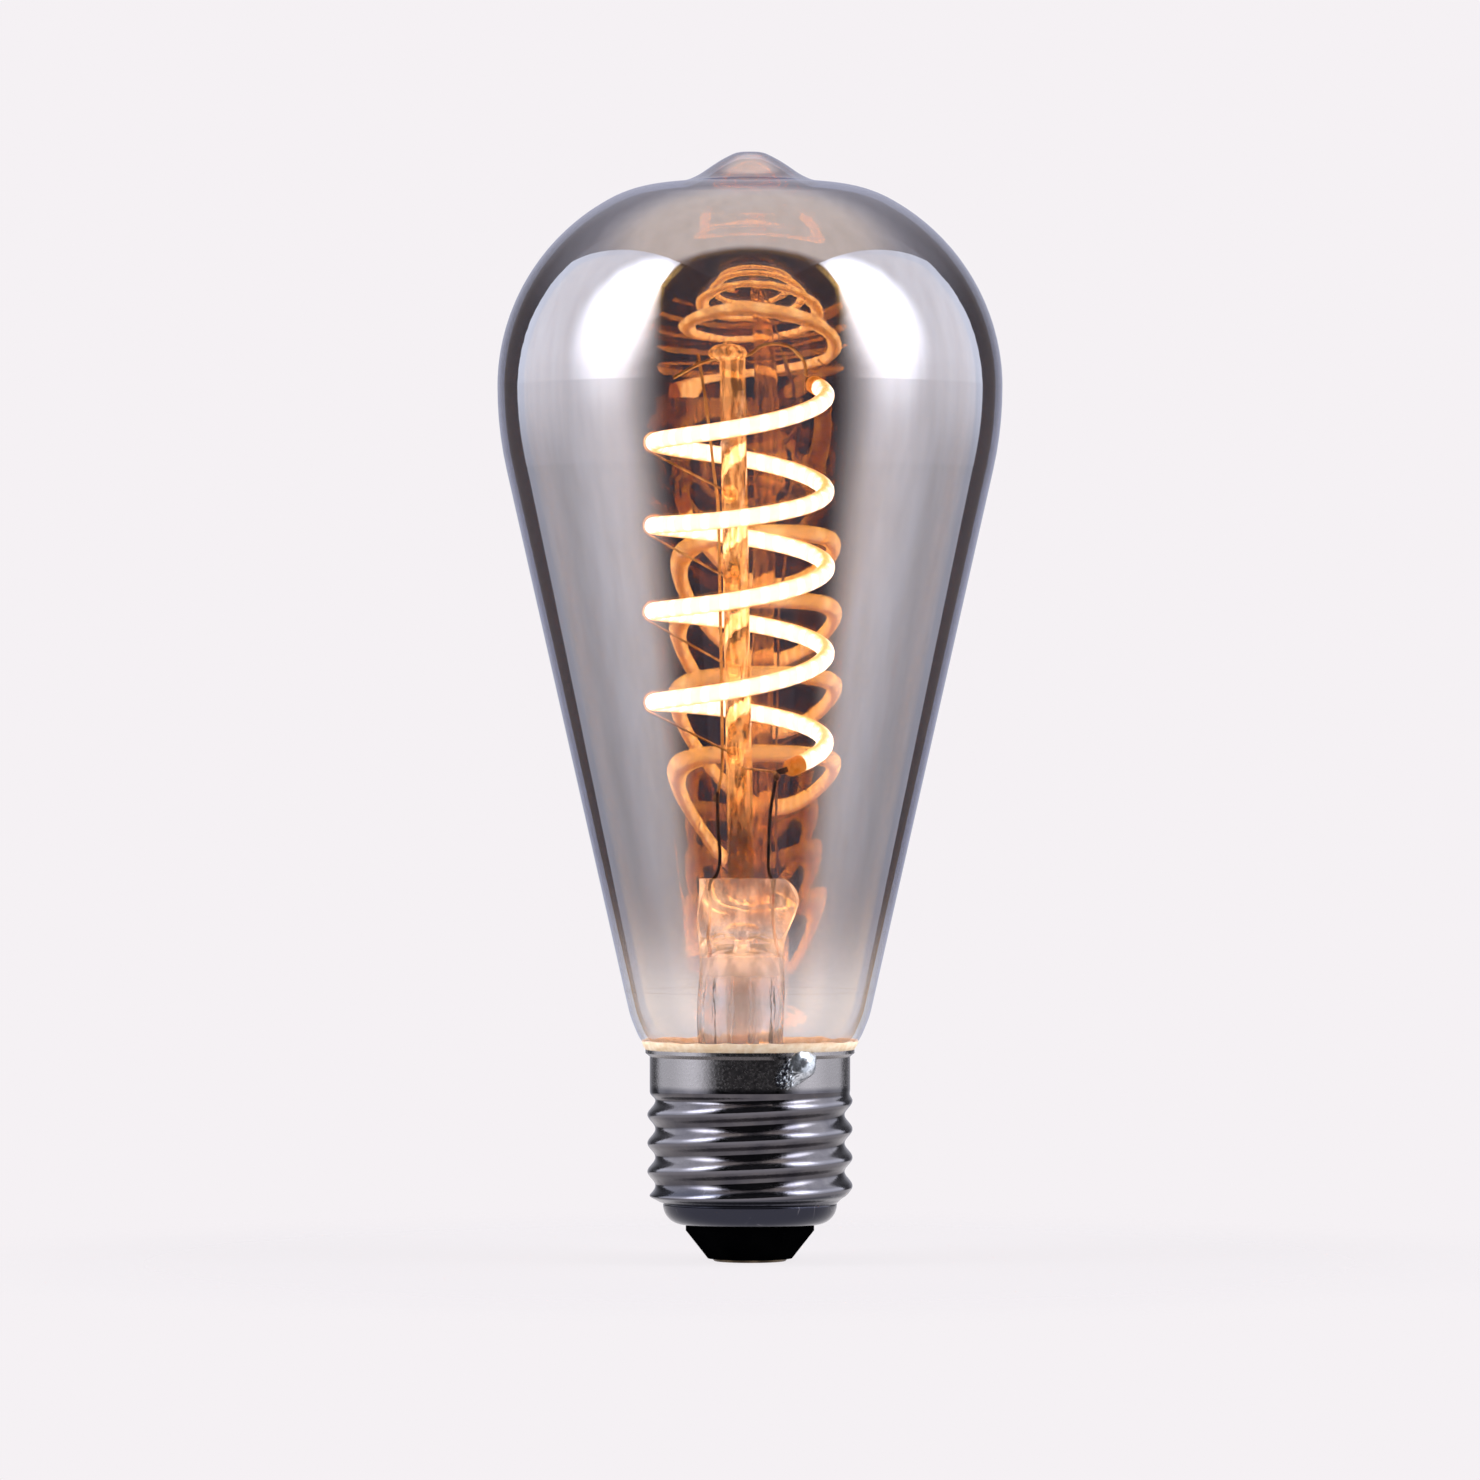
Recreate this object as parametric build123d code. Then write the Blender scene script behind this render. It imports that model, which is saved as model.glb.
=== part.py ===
from build123d import *
import math
import os

# A filament-style smart bulb with a screw cap. Millimetres, +Z up.
# The origin is the middle of the cap's centre contact, where it meets a lampholder.

# Screw cap
thread_pitch = 3.629
thread_crest_radius = 13.1
thread_root_radius = 12.1
thread_bottom = 7.2
thread_top = 21.8
thread_run_out = 1.3
thread_crest_at_right = 16.85
sections_per_turn = 12
shell_wall = 0.25
collar_radius = 12.8
collar_top = 26.1
rim_radius = 13.35
rim_top = 27.0
dome_top_radius = 11.1
dome_bottom = 4.7
lip_radius = 7.9

# Insulator and contacts
seat_clearance = 0.1
insulator_bottom = 0.35
insulator_foot_radius = 5.4
insulator_rim_radius = 8.2
insulator_rim_bottom = 3.9
insulator_flange_radius = 8.9
insulator_top = 6.0
contact_radius = 4.7
contact_edge = 0.15
eyelet_radius = 1.3
eyelet_wall = 0.25
eyelet_top = 3.0
eyelet_solder_top = 1.2
neutral_angle = -62.0
neutral_hole_radius = 0.6
neutral_hole_height = 24.6
solder_width = 3.0
solder_height = 1.9
solder_depth = 1.0
solder_lean = 8.0

# Glass envelope
envelope_wall = 0.9
wall_stations = 8
neck_radius = 11.0
neck_bottom = 18.0
neck_straight_top = 24.4
neck_swell = ((12.0, 26.4), (13.55, 27.7), (14.7, 29.8))
cone_bottom = (16.4, 36.1)
widest_radius = 32.25
widest_height = 111.5
belly_radius = 47.5
shoulder_radius = 27.35
shoulder_turn = 62.0
nipple_height = 2.75
crown_under_tip = ((12.0, 4.2), (7.8, 3.55), (5.2, 2.05), (2.6, 0.45))

# Basing cement
cement_bottom = 22.2
cement_below_rim = 0.3

# Stem: flared tube, press and exhaust tube, a little left of the bulb's axis
stem_shift = -1.05
stem_wall = 0.9
flare_lip = 0.9
flare_curve = ((18.3, 9.3), (20.0, 7.4), (22.5, 6.1))
tube_radius = 5.5
tube_bottom = 26.0
tube_top = 35.5
press_bottom = 40.5
press_top = 48.8
press_half_width = 5.5
press_half_depth = 2.4
press_thickness = 3.6
cavity_top = 38.6
cavity_half_width = 4.6
cavity_half_depth = 2.4
exhaust_radius = 2.0
exhaust_bore = 1.0
exhaust_tip = 14.4
blister_rise = 3.5
blister_half_width = 2.6
blister_half_height = 1.3

# Arbor rod with its button
rod_radius = 1.65
rod_foot = (-1.15, 0.0)
rod_head = (-2.25, 0.0)
rod_top = 115.2
button_centre = (-2.85, 0.0, 115.9)
button_radius = 2.45
button_half_height = 1.25

# Filament coil
strand_radius = 1.1
coil_middle = -1.3
coil_radius = 10.85
coil_bulge = 0.2
coil_side_heights = (110.5, 104.5, 98.2, 93.9, 88.6, 82.9, 77.6, 71.3, 66.3, 59.4)
coil_start_turn = -0.055
coil_end_turn = 4.125
coil_tilt = 1.5
stations_per_turn = 8
coat_bore = 0.55
strip_width = 0.8
strip_thickness = 0.12
cap_length = 2.3
cap_radius = 1.16
terminal_width = 0.7
terminal_thickness = 0.16
terminal_grip = 1.2
terminal_length = 1.1

# Wires
hook_wire = 0.15
lead_wire = 0.2
post_wire = 0.22
outer_wire = 0.16
bead_radius = 0.3
hook_clearance = 0.1
hook_root_heights = (98.0, 86.9, 75.6, 64.6)
hook_turns = (0.5, 1.5, 2.5, 3.5)
hook_wrap = 235.0
hook_plane = -0.35
wire_touch = 0.02
hook_rise = 0.9
hook_sag = 0.3
riser_foot = ((-4.15, 57.6), (-4.1, 59.8))
riser_run = ((-3.5, 62.6), (-3.6, 72.0), (-4.05, 96.9), (-4.6, 100.5), (-5.15, 106.0), (-5.75, 110.6))
riser_head = (-6.65, 115.9)
riser_depth = 0.95
bridge_run = ((-9.8, 0, 112.7), (-6.3, 0, 114.7), (-3.0, 0, 115.5), (-0.3, 0.3, 115.4), (1.6, 1.7, 117.2),
              (5.0, 4.6, 117.3))
bridge_last_bend = (-0.1, -0.6, 1.7)
left_post_run = ((-4.2, 0, 59.9), (-4.05, 0, 54.6), (-3.8, 0, 51.6), (-3.95, 0, 49.8), (-5.0, 0, 48.2))
right_post_knee = (2.5, 57.0)
right_post_run = ((2.4, 0, 53.0), (2.3, 0, 49.9), (2.9, 0, 48.3))
left_seal_top = (-5.0, 0, 45.6)
left_seal_run = ((-5.0, 0, 44.2), (-5.35, 0, 41.2), (-4.6, 0, 39.2))
left_seal_bottom = (-4.6, 0, 37.7)
right_seal_top = (2.9, 0, 46.9)
right_seal_run = ((2.9, 0, 44.5), (3.1, 0, 40.5))
right_seal_bottom = (3.1, 0, 37.7)
left_lead_foot = (-4.4, 0.3)
right_lead_foot = (2.3, 0.3)
lead_foot_straight = 4.0

# Driver and radio inside the cap
sleeve_radius = 11.5
sleeve_wall = 0.3
sleeve_bottom = 8.05
sleeve_top = 15.6
ledge_inner_radius = 10.3
ledge_bottom = 8.5
board_bottom = 9.2
board_thickness = 1.0
board_clearance = 0.1
capacitor_place = (6.4, -1.2)
capacitor_radius = 3.15
capacitor_height = 6.4
capacitor_edge = 0.35
groove_height = 1.2
groove_radius = 0.35
groove_depth = 0.2
inductor_place = (-5.9, -3.9)
inductor_radius = 2.6
inductor_height = 4.6
inductor_flange = 0.7
inductor_waist = 1.2
winding_radius = 2.3
winding_turns = 8
chip_place = (0.4, -7.1)
chip_body = (4.9, 3.9, 1.5)
chip_leg = (0.4, 1.0, 0.2)
leg_pitch = 1.27
leg_overlap = 0.1
rectifier_place = (-4.6, -3.6)
rectifier_body = (4.7, 3.9, 1.7)
rectifier_leg = (0.6, 1.0, 0.2)
resistor_body_radius = 0.95
resistor_body_length = 5.2
resistor_place = (0.6, 3.4)
resistor_drop = 1.3
resistor_lead_reach = 1.6
lead_stub = 0.4
live_lead_bow = 1.45
live_lead_rise = 0.6
neutral_lead_edge = 0.7
neutral_lead_room = 0.2
neutral_lead_bend = 0.9
radio_place = 5.2
radio_body = (12.0, 0.8, 6.2)
shield_body = (7.2, 1.3, 4.6)
shield_wall = 0.15
shield_shift = -1.6
radio_chip_body = (4.0, 0.7, 3.2)
antenna_body = (1.6, 0.7, 3.2)
antenna_shift = 4.2
chip_capacitor_body = (1.6, 0.8, 0.8)
chip_capacitor_places = ((-8.6, 1.0), (-8.6, 3.0), (7.8, 3.6), (-1.6, 2.4))
chip_resistor_body = (1.0, 0.5, 0.35)
chip_resistor_places = ((4.2, -7.0), (4.2, -8.2), (-3.6, -8.4), (-6.8, 0.4), (0.9, -3.4))


def ring(*points):
    """Turn a closed outline of (radius, height) points about the bulb's axis."""
    return revolve(Plane.XZ * make_face(Polyline(*points, close=True)), Axis.Z)


def bend_radii(points):
    """Give the largest bend at each corner that leaves a short straight between bends."""
    radii = []
    for before, corner, after in zip(points, points[1:], points[2:]):
        arriving = Vector(*corner) - Vector(*before)
        leaving = Vector(*after) - Vector(*corner)
        half_turn = math.radians(arriving.get_angle(leaving)) / 2
        radii.append(0.45 * min(arriving.length, leaving.length) / math.tan(half_turn))
    return radii


def wire_path(points):
    """Join points by straight runs with a tangent bend at each corner."""
    if len(points) == 2:
        return Line(*points)
    return FilletPolyline(*points, radius=bend_radii(points))


def along(path, profile, upright=(0, 0, 1)):
    """Sweep a flat profile along a path, square to its start."""
    return sweep(Plane(origin=path @ 0, x_dir=upright, z_dir=path % 0) * profile, path=path)


def wire(points, radius):
    """Make a round wire through a list of points."""
    path = wire_path(points)
    return sweep(Plane(origin=path @ 0, z_dir=path % 0) * Circle(radius), path=path)


def block(size, centre):
    """Make a box of a size about a centre."""
    return Pos(*centre) * Box(*size)


# ---------------------------------------------------------------- screw cap

def smooth_step(share):
    share = max(0.0, min(1.0, share))
    return share * share * (3 - 2 * share)


def thread_sections(inset):
    """Circles whose centres turn about the axis once for each pitch of the rolled thread."""
    middle_radius = (thread_crest_radius + thread_root_radius) / 2
    swing = (thread_crest_radius - thread_root_radius) / 2
    height = thread_top - thread_bottom
    count = round(height / thread_pitch * sections_per_turn)
    sections = []
    for i in range(count + 1):
        z = thread_bottom + height * i / count
        share = min(smooth_step((z - thread_bottom) / thread_run_out),
                    smooth_step((thread_top - z) / thread_run_out))
        end_radius = dome_top_radius if i < count / 2 else collar_radius
        radius = end_radius + (middle_radius - end_radius) * share - inset
        angle = 2 * math.pi * (z - thread_crest_at_right) / thread_pitch
        centre = Pos(share * swing * math.cos(angle), share * swing * math.sin(angle), z)
        sections.append(centre * Circle(radius))
    return sections


def thread_shell():
    """Thread wall: an outer and an inner skin joined by a flat ring at each end."""
    outer, inner = loft(thread_sections(0)), loft(thread_sections(shell_wall))
    skins = [face for skin in (outer, inner) for face in skin.faces()
             if face.geom_type != GeomType.PLANE]
    outer_ends = outer.faces().filter_by(GeomType.PLANE).sort_by(Axis.Z)
    inner_ends = inner.faces().filter_by(GeomType.PLANE).sort_by(Axis.Z)
    rings = [Face(outer_end.outer_wire(), [inner_end.outer_wire()])
             for outer_end, inner_end in zip(outer_ends, inner_ends)]
    return Solid(Shell(skins + rings))


def dome_profile(inset):
    """Points of the dome's quarter round, from the thread down to the lip."""
    depth = thread_bottom - dome_bottom
    centre_radius = dome_top_radius - depth
    start = (dome_top_radius - inset, thread_bottom)
    end = (centre_radius, dome_bottom + inset)
    radius = depth - inset
    middle = (centre_radius + radius * math.sqrt(0.5), thread_bottom - radius * math.sqrt(0.5))
    return start, middle, end


def shell_dome():
    outer_start, outer_middle, outer_end = dome_profile(0)
    inner_start, inner_middle, inner_end = dome_profile(shell_wall)
    outline = [
        ThreePointArc(outer_start, outer_middle, outer_end),
        Polyline(outer_end, (lip_radius, dome_bottom), (lip_radius, dome_bottom + shell_wall), inner_end),
        ThreePointArc(inner_end, inner_middle, inner_start),
        Line(inner_start, outer_start),
    ]
    return revolve(Plane.XZ * make_face(outline), Axis.Z)


def collar_line(inset):
    """Collar and flared rim as (radius, height) points, upwards."""
    return [(collar_radius - inset, thread_top), (collar_radius - inset, collar_top),
            (rim_radius - inset, (collar_top + rim_top) / 2 + inset / 2), (rim_radius - inset, rim_top)]


def shell_collar():
    return ring(*collar_line(0), *reversed(collar_line(shell_wall)))


def neutral_spot():
    """Frame on the collar where the neutral wire comes out; its Z points outwards."""
    angle = math.radians(neutral_angle)
    outwards = (math.cos(angle), math.sin(angle), 0)
    origin = (collar_radius * outwards[0], collar_radius * outwards[1], neutral_hole_height)
    return Plane(origin=origin, x_dir=(-outwards[1], outwards[0], 0), z_dir=outwards)


def cap_shell():
    hole = neutral_spot() * Cylinder(neutral_hole_radius, 4 * shell_wall)
    return shell_dome() + thread_shell() + shell_collar() - hole


def cap_insulator():
    """Black glass keyed round the shell's lip, with a bore for the eyelet."""
    groove_radius = lip_radius - seat_clearance
    bore = eyelet_radius + seat_clearance
    return ring(
        (bore, insulator_bottom), (insulator_foot_radius, insulator_bottom),
        (insulator_rim_radius, insulator_rim_bottom), (insulator_rim_radius, dome_bottom),
        (groove_radius, dome_bottom), (groove_radius, dome_bottom + shell_wall),
        (insulator_flange_radius - shell_wall, dome_bottom + shell_wall),
        (insulator_flange_radius, insulator_top - shell_wall),
        (insulator_flange_radius - shell_wall, insulator_top), (bore, insulator_top),
    )


def centre_contact():
    """Pressed plate with a hollow eyelet."""
    return ring((eyelet_radius - eyelet_wall, 0), (contact_radius - contact_edge, 0),
                (contact_radius, contact_edge), (contact_radius, insulator_bottom),
                (eyelet_radius, insulator_bottom), (eyelet_radius, eyelet_top),
                (eyelet_radius - eyelet_wall, eyelet_top))


def contact_solder():
    """Solder that fills the eyelet round the live wire."""
    bore = eyelet_radius - eyelet_wall
    return ring((0, contact_edge), (bore, 0), (bore, eyelet_solder_top), (0, eyelet_solder_top))


def collar_body():
    """The collar and rim as a filled body, to cut what lies against them."""
    return ring((0, thread_top), *collar_line(0), (0, rim_top))


def side_solder():
    """Blob over the neutral wire: a broad bead and a smaller one beside it."""
    spot = neutral_spot()
    bead = scale(Sphere(1), by=(solder_width * 0.62, solder_height, solder_depth))
    tail = scale(Sphere(1), by=(solder_width * 0.6, solder_height * 0.8, solder_depth * 0.75))
    lump = (spot * Pos(solder_width * 0.35, 0, 0) * Rot(0, 0, solder_lean) * bead
            + spot * Pos(-solder_width * 0.4, -solder_height * 0.1, 0) * tail)
    return lump - collar_body()


# ---------------------------------------------------------------- glass envelope

def parallel(curve, inset):
    """Smooth curve that keeps a distance on the left of another."""
    points = []
    for i in range(wall_stations + 1):
        tangent = curve % (i / wall_stations)
        points.append(curve @ (i / wall_stations) + Vector(-tangent.Y, tangent.X) * inset)
    return Spline(*points, tangents=(curve % 0, curve % 1))


def envelope_curve(inset):
    """Line of the blown bulb in (radius, height), from neck to crown, some way inside its surface."""
    reach = Vector(widest_radius - belly_radius, widest_height) - Vector(*cone_bottom)
    lean = math.atan2(reach.X, reach.Y) + math.asin(belly_radius / reach.length)
    upwards = Vector(math.sin(lean), math.cos(lean))
    cone_top = Vector(*cone_bottom) + upwards * math.sqrt(reach.length ** 2 - belly_radius ** 2)
    belly = JernArc(cone_top, upwards, belly_radius, math.degrees(lean))
    shoulder = JernArc(belly @ 1, belly % 1, shoulder_radius, shoulder_turn)
    tip = widest_height + shoulder_radius + nipple_height
    crown = [(radius, tip - depth) for radius, depth in crown_under_tip]
    top = Spline(shoulder @ 1, *crown, (0, tip), tangents=(shoulder % 1, (-1, 0)))
    neck = Line((neck_radius, neck_bottom), (neck_radius, neck_straight_top))
    swell = Spline(neck @ 1, *neck_swell, cone_bottom, tangents=(neck % 1, upwards))
    inner_top = parallel(top, inset)
    inner_swell = parallel(swell, inset)
    inner_neck = Line((neck_radius - inset, neck_bottom), inner_swell @ 0)
    inner_cone_top = cone_top + Vector(-upwards.Y, upwards.X) * inset
    inner_belly = JernArc(inner_cone_top, upwards, belly_radius - inset, math.degrees(lean))
    inner_shoulder = RadiusArc(inner_belly @ 1, inner_top @ 0, -(shoulder_radius - inset))
    return Wire([inner_neck, inner_swell, Line(inner_swell @ 1, inner_cone_top), inner_belly,
                 inner_shoulder, inner_top])


def filled_envelope(inset=0):
    """The bulb's form as a solid, some way inside its surface."""
    curve = envelope_curve(inset)
    axis_line = Polyline(curve @ 1, (0, neck_bottom), curve @ 0)
    return revolve(Plane.XZ * make_face(curve.edges() + axis_line.edges()), Axis.Z)


def glass_envelope():
    return filled_envelope() - filled_envelope(envelope_wall)


def basing_cement():
    """Cement between the shell's collar and the neck."""
    inner = collar_line(shell_wall)
    top = rim_top - cement_below_rim
    outline = [(0, cement_bottom), (inner[0][0], cement_bottom), inner[1], inner[2],
               (inner[3][0], top), (0, top)]
    return ring(*outline) - filled_envelope() - neutral_lead()


# ---------------------------------------------------------------- stem

def stem_section(z, half_width, half_depth, shift=stem_shift):
    return Pos(shift, 0, z) * Ellipse(half_width, half_depth)


def flare_loft(inset):
    """Trumpet from the neck's edge up to the straight tube."""
    rim_height = neck_bottom - flare_lip
    sections = [stem_section(rim_height, neck_radius - inset, neck_radius - inset, 0)]
    for z, radius in flare_curve:
        share = (z - rim_height) / (tube_bottom - rim_height)
        sections.append(stem_section(z - inset, radius - inset, radius - inset, stem_shift * share))
    for z in (tube_bottom, tube_top):
        sections.append(stem_section(z, tube_radius - inset, tube_radius - inset))
    return sections


def stem_body():
    outer = flare_loft(0)
    outer.append(stem_section(press_bottom - 1.5, press_half_width * 0.98, press_half_depth * 1.5))
    outer.append(stem_section(press_bottom, press_half_width, press_half_depth))
    outer.append(stem_section(press_top, press_half_width, press_half_depth))
    inner = flare_loft(stem_wall)
    inner.append(stem_section(cavity_top, cavity_half_width, cavity_half_depth))
    return loft(outer) - loft(inner)


def press_flats():
    """Two slabs that flatten the front and the back of the press."""
    depth = press_half_depth * 2
    height = press_top - press_bottom + 1
    middle = (press_top + press_bottom + 1) / 2
    offset_y = press_thickness / 2 + depth / 2
    size = (press_half_width * 3, depth, height)
    return [block(size, (stem_shift, side * offset_y, middle)) for side in (-1, 1)]


def stem_flare():
    """Flared glass tube, pressed flat at its top round the lead wires."""
    blister = scale(Sphere(1), by=(blister_half_width, press_thickness / 2, blister_half_height))
    blister = Pos(stem_shift, -press_thickness / 2, cavity_top + blister_rise) * blister
    bore = Pos(stem_shift, 0, cavity_top + blister_rise / 2) * Cylinder(exhaust_bore, blister_rise)
    body = stem_body()
    for cutter in (*press_flats(), blister, bore):
        body -= cutter
    for lead in (left_post(), right_post(), left_dumet(), right_dumet()):
        body -= lead
    return body


def exhaust_tube():
    """Thin tube under the press, closed by melting at its tip."""
    tip = exhaust_tip + exhaust_radius
    tube = Line((exhaust_radius, cavity_top), (exhaust_radius, tip))
    outer_tip = ThreePointArc((exhaust_radius, tip), (exhaust_radius * math.sqrt(0.5),
                              tip - exhaust_radius * math.sqrt(0.5)), (0, exhaust_tip))
    inner_tip = ThreePointArc((0, tip - exhaust_bore), (exhaust_bore * math.sqrt(0.5),
                              tip - exhaust_bore * math.sqrt(0.5)), (exhaust_bore, tip))
    outline = [tube, outer_tip, Line(outer_tip @ 1, inner_tip @ 0), inner_tip,
               Polyline(inner_tip @ 1, (exhaust_bore, cavity_top), tube @ 0)]
    return Pos(stem_shift, 0, 0) * revolve(Plane.XZ * make_face(outline), Axis.Z)


def arbor_rod():
    """Glass rod on the press, melted into a button that holds the bridge wire."""
    foot = Vector(*rod_foot, press_top)
    head = Vector(*rod_head, rod_top)
    path = Line(foot, head)
    rod = sweep(Pos(*foot) * Circle(rod_radius), path=path)
    button = Pos(*button_centre) * scale(Sphere(1), by=(button_radius, button_radius, button_half_height))
    rod = rod + button
    for held in (bridge_wire(), bottom_hook(), *(support_hook(i) for i in range(len(hook_turns)))):
        rod -= held
    return rod


def rod_x(z):
    """The leaning rod's middle at a height."""
    share = (z - press_top) / (rod_top - press_top)
    return rod_foot[0] + (rod_head[0] - rod_foot[0]) * share


# ---------------------------------------------------------------- filament

def coil_point(turn):
    """Middle of the strand after a number of turns down from the coil's first right side."""
    half_turns = 2 * turn
    side = max(0, min(len(coil_side_heights) - 2, math.floor(half_turns)))
    drop = coil_side_heights[side + 1] - coil_side_heights[side]
    height = coil_side_heights[side] + drop * (half_turns - side)
    angle = 2 * math.pi * turn
    radius = coil_radius + coil_bulge * math.sin(math.pi * turn / coil_end_turn)
    sway = coil_tilt * math.sin(angle)
    return (coil_middle + radius * math.cos(angle), -radius * math.sin(angle), height - sway)


def coil_path():
    turns = coil_end_turn - coil_start_turn
    count = round(turns * stations_per_turn)
    return Spline(*(coil_point(coil_start_turn + turns * i / count) for i in range(count + 1)))


def strand(profile):
    """Sweep a profile along the coil; its width stands upright and its depth points at the coil's middle."""
    path = coil_path()
    return sweep(Plane(origin=path @ 0, x_dir=(0, 0, 1), z_dir=path % 0) * profile, path=path, is_frenet=True)


def filament_coat():
    """Soft phosphor coat, hollow where the strip with its light-emitting chips runs."""
    return strand(Circle(strand_radius) - Circle(coat_bore))


def filament_strip():
    return strand(Rectangle(strip_width, strip_thickness))


def coil_end(path, last):
    """Point and outward direction at one end of the strand."""
    return (path @ 1, path % 1) if last else (path @ 0, (path % 0) * -1)


def filament_end_cap(last):
    """Coloured cap that closes the coat and grips the terminal."""
    point, outwards = coil_end(coil_path(), last)
    body = Plane(origin=point, z_dir=outwards) * Pos(0, 0, cap_length / 2) * Cylinder(cap_radius, cap_length)
    far_edge = body.edges().sort_by(lambda edge: (edge.center() - point).dot(outwards))[-1]
    return fillet(far_edge, cap_radius * 0.6) - filament_terminal(last)


def terminal_points(last):
    """A terminal's line: out of the cap and on to the lead that it is welded to."""
    point, outwards = coil_end(coil_path(), last)
    grip = point + outwards * (cap_length - terminal_grip)
    free = point + outwards * (cap_length + terminal_length * 0.4)
    inwards = Vector(coil_middle - free.X, -free.Y, 0).normalized()
    tip = free + (outwards + inwards * (0.9 if last else 0.2)).normalized() * terminal_length
    return [grip, free, tip]


def filament_terminal(last):
    path = wire_path([tuple(point) for point in terminal_points(last)])
    return along(path, Rectangle(terminal_width, terminal_thickness))


# ---------------------------------------------------------------- wires in the bulb

def support_hook(index):
    """Thin wire from the rod that passes under a turn of the coil and wraps round it."""
    centre = Vector(*coil_point(hook_turns[index]))
    root_z = hook_root_heights[index]
    root = Vector(rod_x(root_z) - rod_radius / 3, root_z)
    middle = Vector(centre.X, centre.Z)
    radius = strand_radius + hook_wire + hook_clearance
    reach = middle - root
    heading = math.atan2(reach.Y, reach.X) + math.asin(radius / reach.length)
    straight = math.sqrt(reach.length ** 2 - radius ** 2)
    direction = Vector(math.cos(heading), math.sin(heading))
    run = Line(root, root + direction * straight)
    hook = JernArc(run @ 1, direction, radius, -hook_wrap)
    flat = Plane(origin=(0, hook_plane, 0), x_dir=(1, 0, 0), z_dir=(0, -1, 0))
    path = flat * Wire([run, hook])
    return sweep(Plane(origin=path @ 0, z_dir=path % 0) * Circle(hook_wire), path=path)


def bottom_hook():
    """Wire from the rod to the underside of the coil's lower end."""
    end = Vector(*coil_point(coil_end_turn))
    below = end.Z - cap_radius - hook_wire - hook_clearance
    root = (rod_x(below + hook_rise), -rod_radius / 2, below + hook_rise)
    return wire([root, (end.X / 2, end.Y / 2, below + hook_sag), (end.X, end.Y, below)], hook_wire)


def terminal_side(last, lift):
    """Point beside a terminal's tip, where a lead touches it."""
    tip = terminal_points(last)[-1]
    return Vector(tip.X, tip.Y, tip.Z + lift)


def bridge_wire():
    """Wire through the button to the upper terminal, with a free end on the other side."""
    end = terminal_side(False, terminal_width / 2 + lead_wire + wire_touch)
    return wire([*bridge_run, tuple(end + Vector(*bridge_last_bend)), tuple(end)], lead_wire)


def riser_wire():
    """Lead that climbs behind the left side of the rod from the left post to the bridge wire."""
    beside = post_wire + lead_wire + wire_touch
    points = [(x, beside, z) for x, z in riser_foot]
    points += [(x, riser_depth, z) for x, z in riser_run]
    return wire([*points, (riser_head[0], beside, riser_head[1])], lead_wire)


def left_post():
    return wire([*left_post_run, left_seal_top], post_wire)


def right_post():
    """Post that leans forward to the lower terminal."""
    end = terminal_side(True, -terminal_width / 2 - post_wire - wire_touch)
    knee = (right_post_knee[0], end.Y / 2, right_post_knee[1])
    return wire([tuple(end), knee, *right_post_run, right_seal_top], post_wire)


def left_dumet():
    return wire([left_seal_top, *left_seal_run, left_seal_bottom], post_wire)


def right_dumet():
    return wire([right_seal_top, *right_seal_run, right_seal_bottom], post_wire)


def outer_lead(seal, foot):
    """Thin lead from the bead under a seal down to the driver board."""
    start = Vector(*seal) - Vector(0, 0, bead_radius)
    bead = Pos(*start) * Sphere(bead_radius)
    passing = ((seal[0] + 2 * foot[0]) / 3, seal[1], tube_bottom)
    return bead + wire([tuple(start), passing, (*foot, board_top + lead_foot_straight),
                        (*foot, board_top)], outer_wire)


# ---------------------------------------------------------------- inside the cap

board_top = board_bottom + board_thickness
board_radius = sleeve_radius - sleeve_wall - board_clearance


def insulating_sleeve():
    """Plastic liner with a ledge that carries the driver board."""
    inner = sleeve_radius - sleeve_wall
    return ring((sleeve_radius, sleeve_bottom), (sleeve_radius, sleeve_top), (inner, sleeve_top),
                (inner, board_bottom), (ledge_inner_radius, board_bottom),
                (ledge_inner_radius, ledge_bottom), (inner, sleeve_bottom))


def driver_board():
    middle = (board_bottom + board_top) / 2
    pin = Pos(*resistor_pin(), middle) * Cylinder(lead_wire + board_clearance, board_thickness)
    return Pos(0, 0, middle) * Cylinder(board_radius, board_thickness) - pin


def on_board(size, place):
    """Box that stands on the board's upper face."""
    return block(size, (*place, board_top + size[2] / 2))


def under_board(size, place):
    """Box that hangs from the board's lower face."""
    return block(size, (*place, board_bottom - size[2] / 2))


def bulk_capacitor():
    """Electrolytic can with a groove round its foot."""
    can = Cylinder(capacitor_radius, capacitor_height)
    body = Pos(*capacitor_place, board_top + capacitor_height / 2) * can
    groove_ring = Torus(capacitor_radius + groove_radius - groove_depth, groove_radius)
    groove = Pos(*capacitor_place, board_top + groove_height) * groove_ring
    return fillet(body.edges().filter_by(GeomType.CIRCLE), capacitor_edge) - groove


def inductor_core():
    """Ferrite drum."""
    base = Pos(*inductor_place, board_top)
    top = inductor_height - inductor_flange
    return base * ring((0, 0), (inductor_radius, 0), (inductor_radius, inductor_flange),
                       (inductor_waist, inductor_flange), (inductor_waist, top), (inductor_radius, top),
                       (inductor_radius, inductor_height), (0, inductor_height))


def inductor_winding():
    """Copper wire wound on the drum, as one ring with a ridge for each turn."""
    bottom, top = inductor_flange, inductor_height - inductor_flange
    pitch = (top - bottom) / winding_turns
    valley = winding_radius - pitch / 4
    outer = []
    for i in range(winding_turns):
        outer += [(winding_radius, bottom + pitch * (i + 0.5)), (valley, bottom + pitch * (i + 1))]
    turns = ring((inductor_waist, bottom), (valley, bottom), *outer, (inductor_waist, top))
    return Pos(*inductor_place, board_top) * turns


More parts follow.
